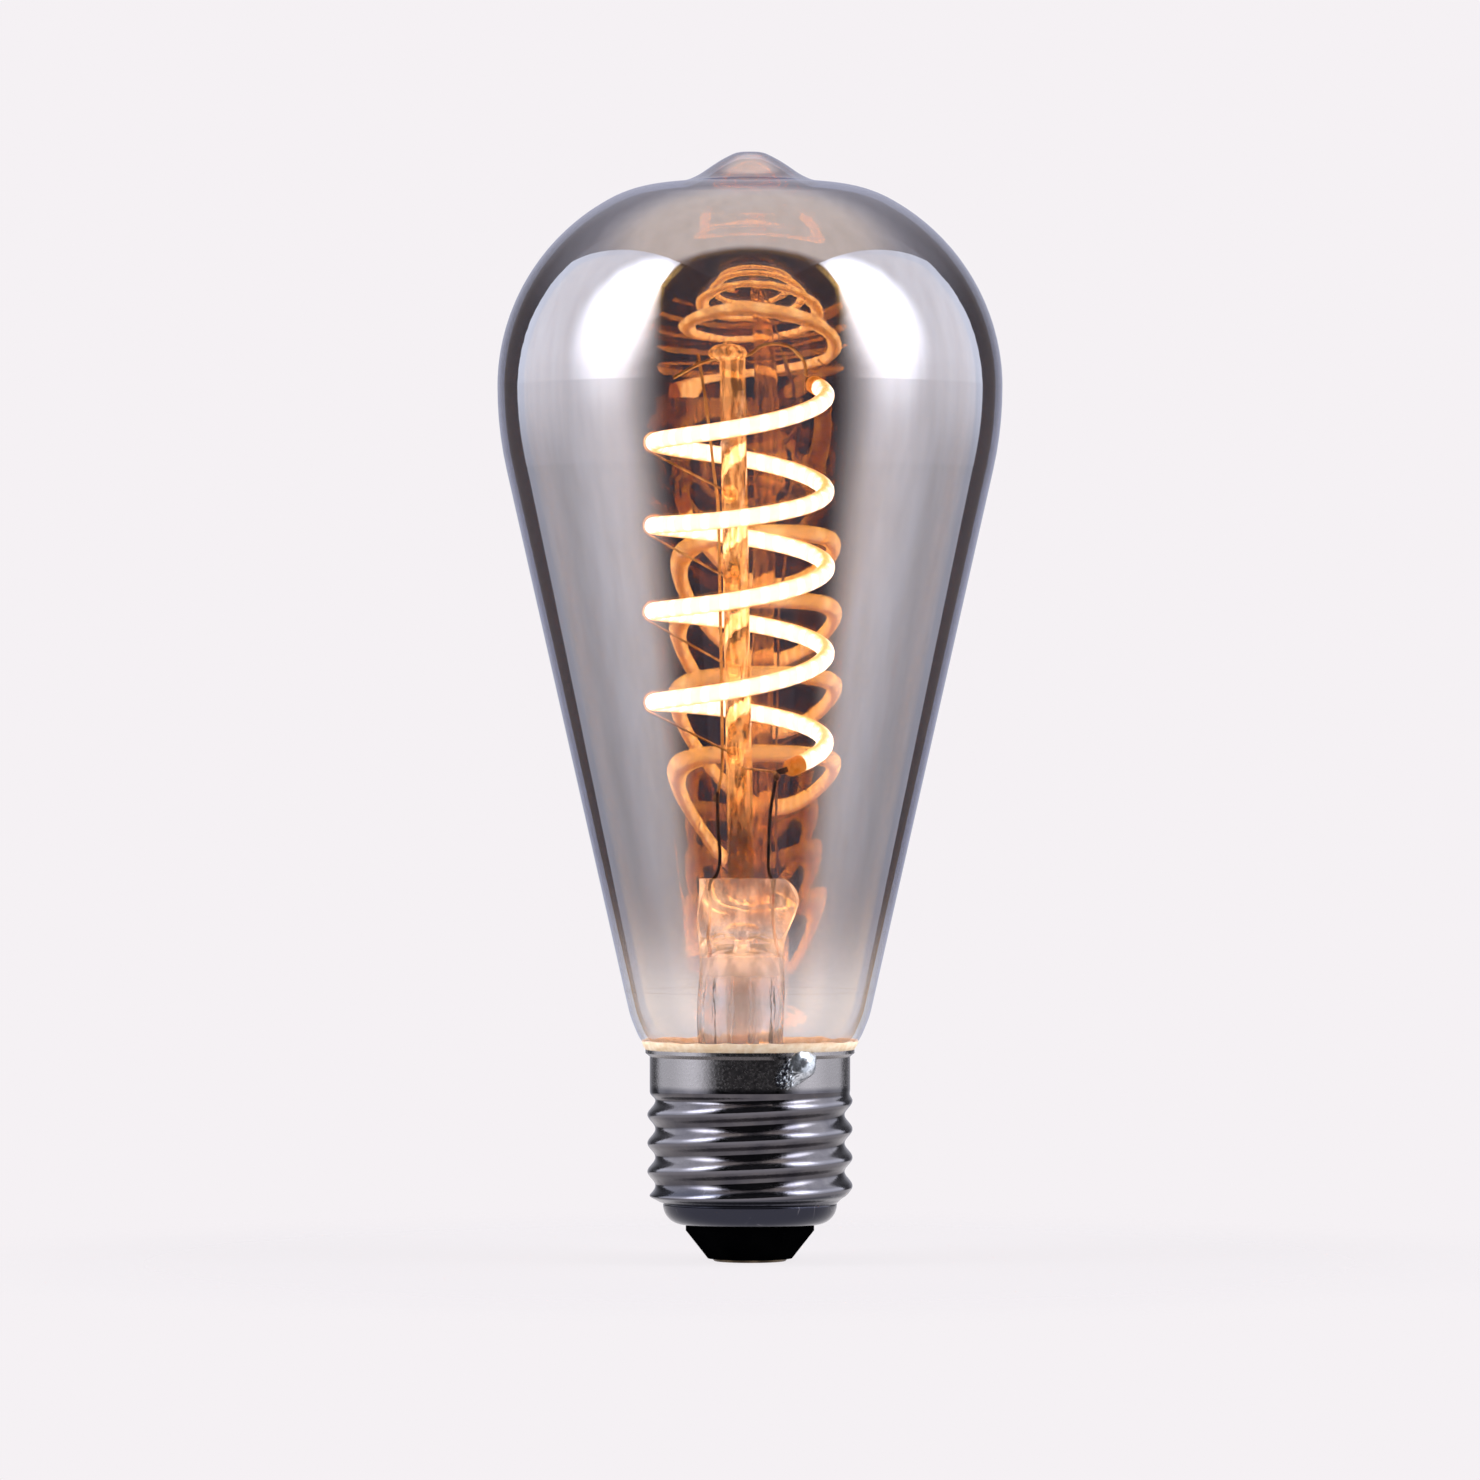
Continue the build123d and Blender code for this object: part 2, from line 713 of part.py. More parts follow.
def legs(place, body, leg, count, z):
    """Two rows of legs along a chip's long sides."""
    out = body[1] / 2 + leg[1] / 2 - leg_overlap
    pitch = leg_pitch * 4 / count
    return [block(leg, (place[0] + (i - (count - 1) / 2) * pitch, place[1] + side * out, z))
            for side in (-1, 1) for i in range(count)]


def led_driver_chip():
    """Driver chip with four legs on each side."""
    chip_legs = legs(chip_place, chip_body, chip_leg, 4, board_top + chip_leg[2] / 2)
    return on_board(chip_body, chip_place) + chip_legs


def bridge_rectifier():
    """Rectifier under the board with two legs on each side."""
    leg_height = board_bottom - rectifier_leg[2] / 2
    feet = legs(rectifier_place, rectifier_body, rectifier_leg, 2, leg_height)
    return under_board(rectifier_body, rectifier_place) + feet


def resistor_height():
    return board_bottom - resistor_drop


def resistor_pin():
    """Place of the hole where the resistor's lead is soldered."""
    return (resistor_place[0] + resistor_body_length / 2 + resistor_lead_reach, resistor_place[1])


def fusible_resistor():
    """Coated resistor that lies under the board, with one lead through it."""
    x, y = resistor_place
    half = resistor_body_length / 2
    z = resistor_height()
    waist = resistor_body_radius * 0.8
    outline = Polyline((-half, 0), (-half, waist), (-half * 0.8, resistor_body_radius),
                       (-half * 0.5, resistor_body_radius), (-half * 0.35, waist), (half * 0.35, waist),
                       (half * 0.5, resistor_body_radius), (half * 0.8, resistor_body_radius), (half, waist),
                       (half, 0), close=True)
    body = Pos(x, y, z) * revolve(make_face(outline), Axis.X)
    pin_x = resistor_pin()[0]
    return body + wire([(x + half / 2, y, z), (pin_x, y, z), (pin_x, y, board_top + lead_stub)], lead_wire)


def live_lead():
    """Wire from the resistor down the eyelet to the centre contact's solder."""
    x = resistor_place[0] - resistor_body_length / 2
    y, z = resistor_place[1], resistor_height()
    over = insulator_top + live_lead_rise
    bow = x - live_lead_bow
    return wire([(x, y, z), (bow, y, z), (bow, y / 3, (z + over) / 2), (0, 0, over),
                 (0, 0, eyelet_solder_top)], lead_wire)


def neutral_lead():
    """Bare wire from the board up between neck and shell, out through the collar."""
    outwards = neutral_spot().z_dir
    inner = board_radius - neutral_lead_edge
    passage = neck_radius + lead_wire + neutral_lead_room
    stops = [(inner, board_top), (inner, sleeve_top - neutral_lead_edge),
             (passage, neck_bottom - flare_lip - neutral_lead_bend / 2),
             (passage, neutral_hole_height - neutral_lead_bend),
             (collar_radius - neutral_lead_bend, neutral_hole_height), (collar_radius, neutral_hole_height)]
    return wire([(outwards.X * radius, outwards.Y * radius, z) for radius, z in stops], lead_wire)


def radio_board():
    """Small board that stands on the driver board."""
    return on_board(radio_body, (0, radio_place))


def radio_face():
    """Outer face of the radio board, as a frame with Z pointing outwards."""
    return Plane(origin=(0, radio_place + radio_body[1] / 2, board_top + radio_body[2] / 2),
                 x_dir=(-1, 0, 0), z_dir=(0, 1, 0))


def on_radio(size, shift):
    """Box on the radio board's outer face; size is width, depth and height."""
    width, depth, height = size
    return radio_face() * Pos(shift, 0, depth / 2) * Box(width, height, depth)


def radio_shield():
    width, depth, height = shield_body
    room = on_radio((width - 2 * shield_wall, depth - shield_wall, height - 2 * shield_wall), shield_shift)
    can = on_radio(shield_body, shield_shift)
    return fillet(can.edges().filter_by(Axis.Y), 0.4) - room


def radio_chip():
    return on_radio(radio_chip_body, shield_shift)


def radio_antenna():
    """Ceramic antenna at the end of the radio board."""
    return on_radio(antenna_body, antenna_shift)


def chip_capacitors():
    return [on_board(chip_capacitor_body, place) for place in chip_capacitor_places]


def chip_resistors():
    return [on_board(chip_resistor_body, place) for place in chip_resistor_places]


# ---------------------------------------------------------------- output

def assembly():
    """Every piece of the bulb by node name."""
    pieces = {
        "glass_envelope": glass_envelope(),
        "stem_flare": stem_flare(),
        "exhaust_tube": exhaust_tube(),
        "arbor_rod": arbor_rod(),
        "filament_coat": filament_coat(),
        "filament_strip": filament_strip(),
        "filament_cap_top": filament_end_cap(False),
        "filament_cap_bottom": filament_end_cap(True),
        "filament_terminal_top": filament_terminal(False),
        "filament_terminal_bottom": filament_terminal(True),
        "bottom_hook": bottom_hook(),
        "riser_wire": riser_wire(),
        "bridge_wire": bridge_wire(),
        "left_post": left_post(),
        "right_post": right_post(),
        "left_dumet": left_dumet(),
        "right_dumet": right_dumet(),
        "left_outer_lead": outer_lead(left_seal_bottom, left_lead_foot),
        "right_outer_lead": outer_lead(right_seal_bottom, right_lead_foot),
        "cap_shell": cap_shell(),
        "cap_insulator": cap_insulator(),
        "centre_contact": centre_contact(),
        "contact_solder": contact_solder(),
        "side_solder": side_solder(),
        "basing_cement": basing_cement(),
        "insulating_sleeve": insulating_sleeve(),
        "driver_board": driver_board(),
        "bulk_capacitor": bulk_capacitor(),
        "inductor_core": inductor_core(),
        "inductor_winding": inductor_winding(),
        "led_driver_chip": led_driver_chip(),
        "bridge_rectifier": bridge_rectifier(),
        "fusible_resistor": fusible_resistor(),
        "live_lead": live_lead(),
        "neutral_lead": neutral_lead(),
        "radio_board": radio_board(),
        "radio_shield": radio_shield(),
        "radio_chip": radio_chip(),
        "radio_antenna": radio_antenna(),
        "chip_capacitors": chip_capacitors(),
        "chip_resistors": chip_resistors(),
    }
    for index in range(len(hook_turns)):
        pieces[f"support_hook_{index + 1}"] = support_hook(index)
    return pieces


os.makedirs("parts", exist_ok=True)
for name, piece in assembly().items():
    export_step(Compound(piece) if isinstance(piece, list) else piece, f"parts/{name}.step")
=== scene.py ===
"""Dresses, stages and lights a filament-style smart bulb with a screw cap.

Metres, +Z up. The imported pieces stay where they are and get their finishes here. The solder, welds,
fused glass and squeezed cement that a bench worker leaves on the bulb are modelled here. The bulb
stands on its centre contact on a pale floor, between two soft light panels and dark cards.
"""
import logging
import math
from collections.abc import Callable
from dataclasses import dataclass
from enum import Enum
from typing import Any, ClassVar

import bmesh
import bpy
from bmesh.types import BMesh
from bpy.types import Material, Node, NodeSocket, NodeTree, Object
from mathutils import Matrix, Vector, noise


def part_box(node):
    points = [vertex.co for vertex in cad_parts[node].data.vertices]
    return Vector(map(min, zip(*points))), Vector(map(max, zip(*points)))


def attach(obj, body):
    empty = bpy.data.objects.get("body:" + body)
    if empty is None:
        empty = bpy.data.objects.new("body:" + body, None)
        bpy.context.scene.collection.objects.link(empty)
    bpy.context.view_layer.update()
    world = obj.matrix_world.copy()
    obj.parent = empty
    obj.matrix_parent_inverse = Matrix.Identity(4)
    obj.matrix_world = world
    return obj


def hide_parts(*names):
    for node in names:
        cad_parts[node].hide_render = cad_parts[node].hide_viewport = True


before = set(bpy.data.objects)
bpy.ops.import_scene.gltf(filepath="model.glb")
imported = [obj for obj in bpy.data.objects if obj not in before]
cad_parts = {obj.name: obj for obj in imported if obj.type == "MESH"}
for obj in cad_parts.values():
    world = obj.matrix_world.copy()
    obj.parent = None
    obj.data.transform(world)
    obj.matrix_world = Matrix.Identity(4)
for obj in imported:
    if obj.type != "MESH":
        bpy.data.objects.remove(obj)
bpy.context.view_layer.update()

MM = 0.001
# Nearly all of a noise texture lies between these two values.
NOISE_LOW, NOISE_HIGH = 0.3, 0.7
# A wave texture turns through this many radians in one unit of its scale.
WAVE_TURN = 20.0
# Settings that many nodes share.
SMOOTH = {"interpolation_type": "SMOOTHSTEP"}
SMOOTHER = {"interpolation_type": "SMOOTHERSTEP"}
COLOURS = {"data_type": "RGBA"}
# A mask that leaves out the height.
LEVEL = (1.0, 1.0, 0.0)
# Two values: the ends of a range, or a place or a size on a flat.
Pair = tuple[float, float]
log = logging.getLogger("bulb")


def linear(code: str) -> tuple[float, float, float, float]:
    """Turns an sRGB hex colour into linear light.

    Args:
        code: Colour as "#rrggbb".

    Returns:
        Red, green, blue and an alpha of one.
    """
    shares = [int(code[i:i + 2], 16) / 255 for i in (1, 3, 5)]
    red, green, blue = [c / 12.92 if c <= 0.04045 else ((c + 0.055) / 1.055) ** 2.4 for c in shares]
    return red, green, blue, 1.0


def add(tree: NodeTree, kind: str, inputs: dict | None = None, **settings: Any) -> Node:
    """Adds a shader node with its settings, values and links.

    Args:
        tree: Node tree that takes the node.
        kind: The node's type, without its ShaderNode prefix.
        inputs: For each input by name or number, its value or what it is linked from: a socket, or a
            node, which stands for the first of its outputs that is in use.
        **settings: The node's properties. The stops of a ramp are (position, hex colour) pairs.

    Returns:
        The new node.
    """
    made = tree.nodes.new("ShaderNode" + kind)
    for name, value in settings.items():
        if name == "stops":
            ramp = made.color_ramp.elements
            while len(ramp) < len(value):
                ramp.new(1.0)
            for stop, (position, code) in zip(ramp, value):
                stop.position, stop.color = position, linear(code)
        else:
            setattr(made, name, value)
    for socket, value in (inputs or {}).items():
        if isinstance(value, Node):
            value = next(output for output in value.outputs if output.enabled)
        if isinstance(value, NodeSocket):
            tree.links.new(value, made.inputs[socket])
        else:
            made.inputs[socket].default_value = value
    return made


def per_metre(size_mm: float) -> float:
    """Scale of a pattern whose features are a size in millimetres across."""
    return 1.0 / (size_mm * MM)


# ---------------------------------------------------------------- finishes


@dataclass(frozen=True)
class Finish:
    """A finish that pieces share. Each kind of finish says how its surface is made.

    Args:
        name: The material's name.
    """

    name: str

    def surface(self, tree: NodeTree, place: NodeSocket) -> Node:
        """Builds the finish's shader on Object coordinates and returns its last node."""
        raise NotImplementedError

    def material(self) -> Material:
        """Makes the material on its first use.

        Returns:
            The material of this finish.
        """
        made = bpy.data.materials.get(self.name)
        if made is None:
            made = bpy.data.materials.new(self.name)
            made.use_nodes = True
            tree = made.node_tree
            tree.nodes.clear()
            place = add(tree, "TexCoord").outputs["Object"]
            add(tree, "OutputMaterial", {"Surface": self.surface(tree, place)})
        return made

    def lay_on(self, *pieces: Object | str) -> None:
        """Gives pieces this finish and no other.

        Args:
            *pieces: New objects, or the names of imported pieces.
        """
        for piece in pieces:
            mesh = (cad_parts[piece] if isinstance(piece, str) else piece).data
            mesh.materials.clear()
            mesh.materials.append(self.material())


@dataclass(frozen=True)
class MetalFinish(Finish):
    """A bare or plated metal with a fine grain in its colour, gloss and height.

    Args:
        colour: Main colour.
        stain: Colour of the duller patches.
        roughness: Roughness between the patches.
        patch_mm: Size of the patches.
        grain_mm: Size of the grain.
        relief_mm: Height of the grain.
        dulling: How many times rougher the patches are.
    """

    colour: str
    stain: str
    roughness: float
    patch_mm: float = 2.5
    grain_mm: float = 0.25
    relief_mm: float = 0.004
    dulling: float = 1.5

    def surface(self, tree: NodeTree, place: NodeSocket) -> Node:
        """Patches shift colour and gloss, and the grain breaks up highlights.

        Args:
            tree: The material's node tree.
            place: Object coordinates.

        Returns:
            The shader.
        """
        patches = add(tree, "TexNoise", {"Vector": place, "Scale": per_metre(self.patch_mm), "Detail": 3.0})
        grain = add(tree, "TexNoise", {"Vector": place, "Scale": per_metre(self.grain_mm), "Detail": 2.0})
        colour = add(tree, "ValToRGB", {0: patches}, stops=((0.35, self.stain), (0.6, self.colour)))
        rough = add(tree, "MapRange", {0: patches, 1: NOISE_LOW, 2: NOISE_HIGH,
                                       3: self.roughness * self.dulling, 4: self.roughness})
        bump = add(tree, "Bump", {"Height": grain, "Distance": self.relief_mm * MM})
        return add(tree, "BsdfPrincipled", {"Base Color": colour, "Metallic": 1.0, "Roughness": rough,
                                            "Normal": bump})


@dataclass(frozen=True)
class MouldedFinish(Finish):
    """A plastic, resin, lacquer or ceramic with a mottled colour and a faint moulded texture.

    Args:
        colour: Main colour.
        shade: Darker colour of the mottle.
        roughness: Mean roughness.
        mottle_mm: Size of the mottle.
        grain_mm: Size of the surface texture.
        relief_mm: Height of the surface texture.
        coat: Share of a clear gloss over the colour.
        specular: Level of the surface's own shine, a half on plain plastic.
        spread: How much the roughness varies, as a share.
    """

    colour: str
    shade: str
    roughness: float = 0.45
    mottle_mm: float = 1.5
    grain_mm: float = 0.2
    relief_mm: float = 0.006
    coat: float = 0.0
    specular: float = 0.5
    spread: float = 0.15

    def surface(self, tree: NodeTree, place: NodeSocket) -> Node:
        """A mottle in the colour, and the texture in both gloss and height.

        Args:
            tree: The material's node tree.
            place: Object coordinates.

        Returns:
            The shader.
        """
        mottle = add(tree, "TexNoise", {"Vector": place, "Scale": per_metre(self.mottle_mm), "Detail": 4.0})
        grain = add(tree, "TexNoise", {"Vector": place, "Scale": per_metre(self.grain_mm), "Detail": 2.0})
        colour = add(tree, "ValToRGB", {0: mottle}, stops=((0.35, self.shade), (0.65, self.colour)))
        rough = add(tree, "MapRange", {0: grain, 1: NOISE_LOW, 2: NOISE_HIGH,
                                       3: self.roughness * (1.0 - self.spread),
                                       4: self.roughness * (1.0 + self.spread)})
        bump = add(tree, "Bump", {"Height": grain, "Distance": self.relief_mm * MM})
        return add(tree, "BsdfPrincipled", {"Base Color": colour, "Roughness": rough,
                                            "Specular IOR Level": self.specular,
                                            "Coat Weight": self.coat, "Coat Roughness": 0.08,
                                            "Normal": bump})


@dataclass(frozen=True)
class SmokedGlass(Finish):
    """Blown soda-lime glass with a vapour-coated grey mirror tint, which thins out towards the neck.

    The coat mirrors outside light from the outer face, passes a warm dim view, and lets the glow inside
    mirror in the far wall, warmed by the coat. Rays go straight through, as through a thin blown wall.

    Args:
        tint: What one face of the coated wall lets through.
        clear: What one face of the bare wall lets through.
        outer_colour: Colour of the light that the outer face mirrors.
        inner_colour: Colour of the light that the inner face mirrors.
        outer_mirror: Share that the coated outer face mirrors head on.
        inner_mirror: Share that the inner face mirrors head on.
        bare_mirror: Share that bare glass mirrors head on.
        outer_glancing: Share that the outer face mirrors at a glancing angle.
        inner_glancing: Share that the inner face mirrors there.
        glancing_power: How late the mirror turns to its glancing strength.
        coat_mm: Heights where the coat starts to show and where it has its full strength.
        streak_mm: Width of the streaks that the vapour leaves along the wall.
        streak_squeeze: Squeeze of their noise in height, which draws them out along the bulb.
        streak: How much they change the mirror.
        wave_mm: Size of the waves that blowing leaves in the wall.
        wave_depth_mm: Height of those waves.
        inner_wave: Share of it on the inner face.
    """

    tint: str = "#c5c4cb"
    clear: str = "#f7f6f6"
    outer_colour: str = "#edf0fb"
    inner_colour: str = "#ffcd6c"
    outer_mirror: float = 0.25
    inner_mirror: float = 0.31
    bare_mirror: float = 0.065
    outer_glancing: float = 0.85
    inner_glancing: float = 0.35
    glancing_power: float = 4.0
    coat_mm: Pair = (29.0, 57.0)
    streak_mm: float = 2.2
    streak_squeeze: float = 0.03
    streak: float = 0.07
    wave_mm: float = 18.0
    wave_depth_mm: float = 0.012
    inner_wave: float = 0.3

    def outer_face(self, tree: NodeTree, place: NodeSocket) -> Node:
        """Tells the wall's outer face from its inner one by which way it leans.

        Args:
            tree: The material's node tree.
            place: Object coordinates.

        Returns:
            One on the outer face and zero on the inner one.
        """
        geometry = add(tree, "NewGeometry")
        from_axis = add(tree, "VectorMath", {0: place, 1: LEVEL}, operation="MULTIPLY")
        lean = add(tree, "VectorMath", {0: geometry.outputs["Normal"], 1: from_axis},
                   operation="DOT_PRODUCT")
        side = add(tree, "Math", {0: geometry.outputs["Backfacing"], 1: -2.0, 2: 1.0},
                   operation="MULTIPLY_ADD")
        true_lean = add(tree, "Math", {0: lean, 1: side}, operation="MULTIPLY")
        return add(tree, "Math", {0: true_lean, 1: 0.0}, operation="GREATER_THAN")

    def surface(self, tree: NodeTree, place: NodeSocket) -> Node:
        """A mix of a straight view and a mirror, by face, height and slant.

        Args:
            tree: The material's node tree.
            place: Object coordinates.

        Returns:
            The shader.
        """
        outer = self.outer_face(tree, place)
        height = add(tree, "SeparateXYZ", {0: place}).outputs[2]
        low, high = self.coat_mm
        coat = add(tree, "MapRange", {0: height, 1: low * MM, 2: high * MM}, **SMOOTHER)
        coated = add(tree, "MapRange", {0: outer, 3: self.inner_mirror, 4: self.outer_mirror})
        head_on = add(tree, "MapRange", {0: coat, 3: self.bare_mirror, 4: coated})
        along = add(tree, "Mapping", {0: place, 3: (1.0, 1.0, self.streak_squeeze)})
        vapour = add(tree, "TexNoise", {"Vector": along, "Scale": per_metre(self.streak_mm)})
        uneven = add(tree, "MapRange", {0: vapour, 1: NOISE_LOW, 2: NOISE_HIGH,
                                        3: 1.0 - self.streak, 4: 1.0 + self.streak})
        streaked = add(tree, "Math", {0: head_on, 1: uneven}, operation="MULTIPLY")
        slant = add(tree, "LayerWeight", {"Blend": 0.5}).outputs["Facing"]
        glancing = add(tree, "Math", {0: slant, 1: self.glancing_power}, operation="POWER")
        edge_on = add(tree, "MapRange", {0: outer, 3: self.inner_glancing, 4: self.outer_glancing})
        share = add(tree, "MapRange", {0: glancing, 3: streaked, 4: edge_on})
        tint = add(tree, "Mix", {0: coat, 6: linear(self.clear), 7: linear(self.tint)}, **COLOURS)
        mirrored = add(tree, "Mix", {0: outer, 6: linear(self.inner_colour),
                                     7: linear(self.outer_colour)}, **COLOURS)
        waves = add(tree, "TexNoise", {"Vector": place, "Scale": per_metre(self.wave_mm), "Detail": 1.0})
        swell = add(tree, "MapRange", {0: outer, 3: self.inner_wave, 4: 1.0})
        bump = add(tree, "Bump", {"Height": waves, "Distance": self.wave_depth_mm * MM,
                                  "Strength": swell})
        view = add(tree, "BsdfTransparent", {"Color": tint})
        mirror = add(tree, "BsdfAnisotropic", {"Color": mirrored, "Roughness": 0.0, "Normal": bump})
        return add(tree, "MixShader", {0: share, 1: view, 2: mirror})


@dataclass(frozen=True)
class StemGlass(Finish):
    """Lead-free stem glass, drawn or worked in a flame: clear, with cloudy streaks that catch the glow.

    The streaks' glow is painted: an emission near the coil, brightest on the streaks, stands in for the
    coil's light caught in the glass.

    Args:
        colour: Colour of the clear glass.
        streak: Colour of its cloudy streaks.
        clarity: Share of light that passes; the rest is scattered by bubbles and strain.
        streak_mm: Width of the streaks.
        stretch: How much longer than wide the streaks are, along the bulb.
        depth_mm: Height of the ripples that go with them.
        roughness: Roughness of the fire-polished skin.
        cloudy: Share of light that passes in a pinched zone.
        frost: Roughness of that zone.
        frost_mm: Height of its middle, and how far it reaches up and down.
        painted_glow: Colour of the painted glow on the streaks.
        painted_glow_level: Strength of that painted glow beside the coil.
        painted_glow_between: Share of it between the streaks.
        painted_glow_mm: Heights where the painted glow has faded out and where it is at full strength.
        streak_edge: Values of the noise between which a streak starts to carry the painted glow.
    """

    colour: str
    streak: str
    clarity: float
    streak_mm: float
    stretch: float
    depth_mm: float
    roughness: float
    cloudy: float
    frost: float
    frost_mm: Pair = (0.0, 1.0)
    painted_glow: str = "#ffae50"
    painted_glow_level: float = 0.0
    painted_glow_between: float = 0.12
    painted_glow_mm: Pair = (0.0, 1.0)
    streak_edge: Pair = (0.44, 0.62)

    def surface(self, tree: NodeTree, place: NodeSocket) -> Node:
        """Glass that bends light, with streaks in colour and height, one rough zone and a painted glow.

        Args:
            tree: The material's node tree.
            place: Object coordinates.

        Returns:
            The shader.
        """
        height = add(tree, "SeparateXYZ", {0: place}).outputs[2]
        along = add(tree, "Mapping", {0: place, 3: (1.0, 1.0, 1.0 / self.stretch)})
        streaks = add(tree, "TexNoise", {"Vector": along, "Scale": per_metre(self.streak_mm),
                                         "Detail": 3.0})
        colour = add(tree, "ValToRGB", {0: streaks}, stops=((0.4, self.streak), (0.58, self.colour)))
        bump = add(tree, "Bump", {"Height": streaks, "Distance": self.depth_mm * MM})
        middle, reach = self.frost_mm
        below = add(tree, "Math", {0: height, 1: middle * MM}, operation="SUBTRACT")
        away = add(tree, "Math", {0: below}, operation="ABSOLUTE")
        rough, passed = [add(tree, "MapRange", {0: away, 1: 0.0, 2: reach * MM, 3: inside, 4: outside},
                             **SMOOTHER)
                         for inside, outside in ((self.frost, self.roughness), (self.cloudy, self.clarity))]
        # Painted glow: an emission on the streaks that fades away from the coil, in place of the coil's
        # light caught in the glass.
        start, stop = self.streak_edge
        painted_glow_streaks = add(tree, "MapRange", {0: streaks, 1: start, 2: stop, 3: self.painted_glow_between}, **SMOOTH)
        faded, full = self.painted_glow_mm
        near = add(tree, "MapRange", {0: height, 1: faded * MM, 2: full * MM})
        light = add(tree, "Math", {0: painted_glow_streaks, 1: near}, operation="MULTIPLY")
        glow = add(tree, "Mix", {0: light, 6: linear("#000000"), 7: linear(self.painted_glow)}, **COLOURS)
        return add(tree, "BsdfPrincipled", {"Base Color": colour, "Roughness": rough, "IOR": 1.5,
                                            "Transmission Weight": passed, "Normal": bump,
                                            "Emission Color": glow,
                                            "Emission Strength": self.painted_glow_level})


@dataclass(frozen=True)
class PhosphorCoat(Finish):
    """Silicone loaded with yellow phosphor over a strip of chips, lit.

    The strip stands on edge, so light leaves the coat's inward and outward faces, white-hot over each
    chip, and the coat's upper and lower edges glow a deeper amber.

    Args:
        middle_mm: Where the coil's axis is along X.
        chips_per_turn: Chips in one turn of the coil.
        colour: Colour of the silicone.
        glow: Colour of the glow between chips.
        dot: Colour of the glow over a chip.
        edge: Colour of the glow at the coat's upper and lower edges.
        lit: How much a face looks in or out where it stops being an edge and where it is fully lit.
        strength: Strength of the glow.
    """

    middle_mm: float = -1.3
    chips_per_turn: float = 29.0
    colour: str = "#f0c878"
    glow: str = "#e6bf94"
    dot: str = "#ffe7cb"
    edge: str = "#ae7840"
    lit: Pair = (0.12, 0.85)
    strength: float = 16.5

    def surface(self, tree: NodeTree, place: NodeSocket) -> Node:
        """A glow with a dot wherever a chip lies along the coil, weaker towards the coat's edges.

        Args:
            tree: The material's node tree.
            place: Object coordinates.

        Returns:
            The shader.
        """
        from_middle = add(tree, "VectorMath", {0: place, 1: (self.middle_mm * MM, 0.0, 0.0)},
                          operation="SUBTRACT")
        axes = add(tree, "SeparateXYZ", {0: from_middle})
        angle = add(tree, "Math", {0: axes.outputs[1], 1: axes.outputs[0]}, operation="ARCTAN2")
        phase = add(tree, "Math", {0: angle, 1: self.chips_per_turn}, operation="MULTIPLY")
        wave = add(tree, "Math", {0: phase}, operation="COSINE")
        dots = add(tree, "MapRange", {0: wave}, **SMOOTH)
        flat = add(tree, "VectorMath", {0: from_middle, 1: LEVEL}, operation="MULTIPLY")
        outwards = add(tree, "VectorMath", {0: flat}, operation="NORMALIZE")
        lean = add(tree, "VectorMath", {0: add(tree, "NewGeometry").outputs["Normal"], 1: outwards},
                   operation="DOT_PRODUCT")
        face = add(tree, "Math", {0: lean}, operation="ABSOLUTE")
        lit = add(tree, "MapRange", {0: face, 1: self.lit[0], 2: self.lit[1]}, **SMOOTH)
        light = add(tree, "Mix", {0: dots, 6: linear(self.glow), 7: linear(self.dot)}, **COLOURS)
        shaded = add(tree, "Mix", {0: lit, 6: linear(self.edge), 7: light}, **COLOURS)
        return add(tree, "BsdfPrincipled", {"Base Color": linear(self.colour), "Roughness": 0.4,
                                            "Emission Color": shaded,
                                            "Emission Strength": self.strength})


@dataclass(frozen=True)
class EndSilicone(Finish):
    """Silicone moulded over a filament's end, orange, with a painted glow from within in place of light
    from the last chips.

    Args:
        colour: Colour of the silicone.
        glow: Colour of the painted glow.
        deep: Colour of the painted glow in its deeper patches.
        strength: Strength of the painted glow.
        cloud_mm: Size of those patches.
    """

    colour: str = "#e8862a"
    glow: str = "#ffa648"
    deep: str = "#d6741e"
    strength: float = 3.2
    cloud_mm: float = 1.2

    def surface(self, tree: NodeTree, place: NodeSocket) -> Node:
        """Cloudy silicone with an uneven painted glow.

        Args:
            tree: The material's node tree.
            place: Object coordinates.

        Returns:
            The shader.
        """
        cloud = add(tree, "TexNoise", {"Vector": place, "Scale": per_metre(self.cloud_mm), "Detail": 2.0})
        glow = add(tree, "ValToRGB", {0: cloud}, stops=((0.35, self.deep), (0.65, self.glow)))
        return add(tree, "BsdfPrincipled", {"Base Color": linear(self.colour), "Roughness": 0.35,
                                            "Emission Color": glow, "Emission Strength": self.strength})


@dataclass(frozen=True)
class LaminateFinish(Finish):
    """Glass-epoxy circuit board under solder mask, with copper runs that show through as lighter lines.

    Args:
        mask: Colour of the mask over bare board.
        run: Colour of the mask over copper.
        run_mm: Spacing of the runs.
        weave_mm: Length in which the weave's wave turns by one radian, coarser than real glass cloth.
        weave_relief_mm: Height of the weave.
    """

    mask: str = "#0f4a2c"
    run: str = "#1f6b42"
    run_mm: float = 1.6
    weave_mm: float = 0.5
    weave_relief_mm: float = 0.004

    def surface(self, tree: NodeTree, place: NodeSocket) -> Node:
        """Square cells make the runs, and a fine wave makes the weave.

        Args:
            tree: The material's node tree.
            place: Object coordinates.

        Returns:
            The shader.
        """
        cells = add(tree, "TexVoronoi", {"Vector": place, "Scale": per_metre(self.run_mm)},
                    distance="CHEBYCHEV", feature="F1")
        runs = add(tree, "ValToRGB", {0: cells}, stops=((0.32, self.run), (0.38, self.mask)))
        weave = add(tree, "TexWave", {"Vector": place, "Scale": per_metre(self.weave_mm) / WAVE_TURN})
        bump = add(tree, "Bump", {"Height": weave.outputs[1], "Distance": self.weave_relief_mm * MM})
        return add(tree, "BsdfPrincipled", {"Base Color": runs, "Roughness": 0.35, "Coat Weight": 0.4,
                                            "Coat Roughness": 0.15, "Normal": bump})


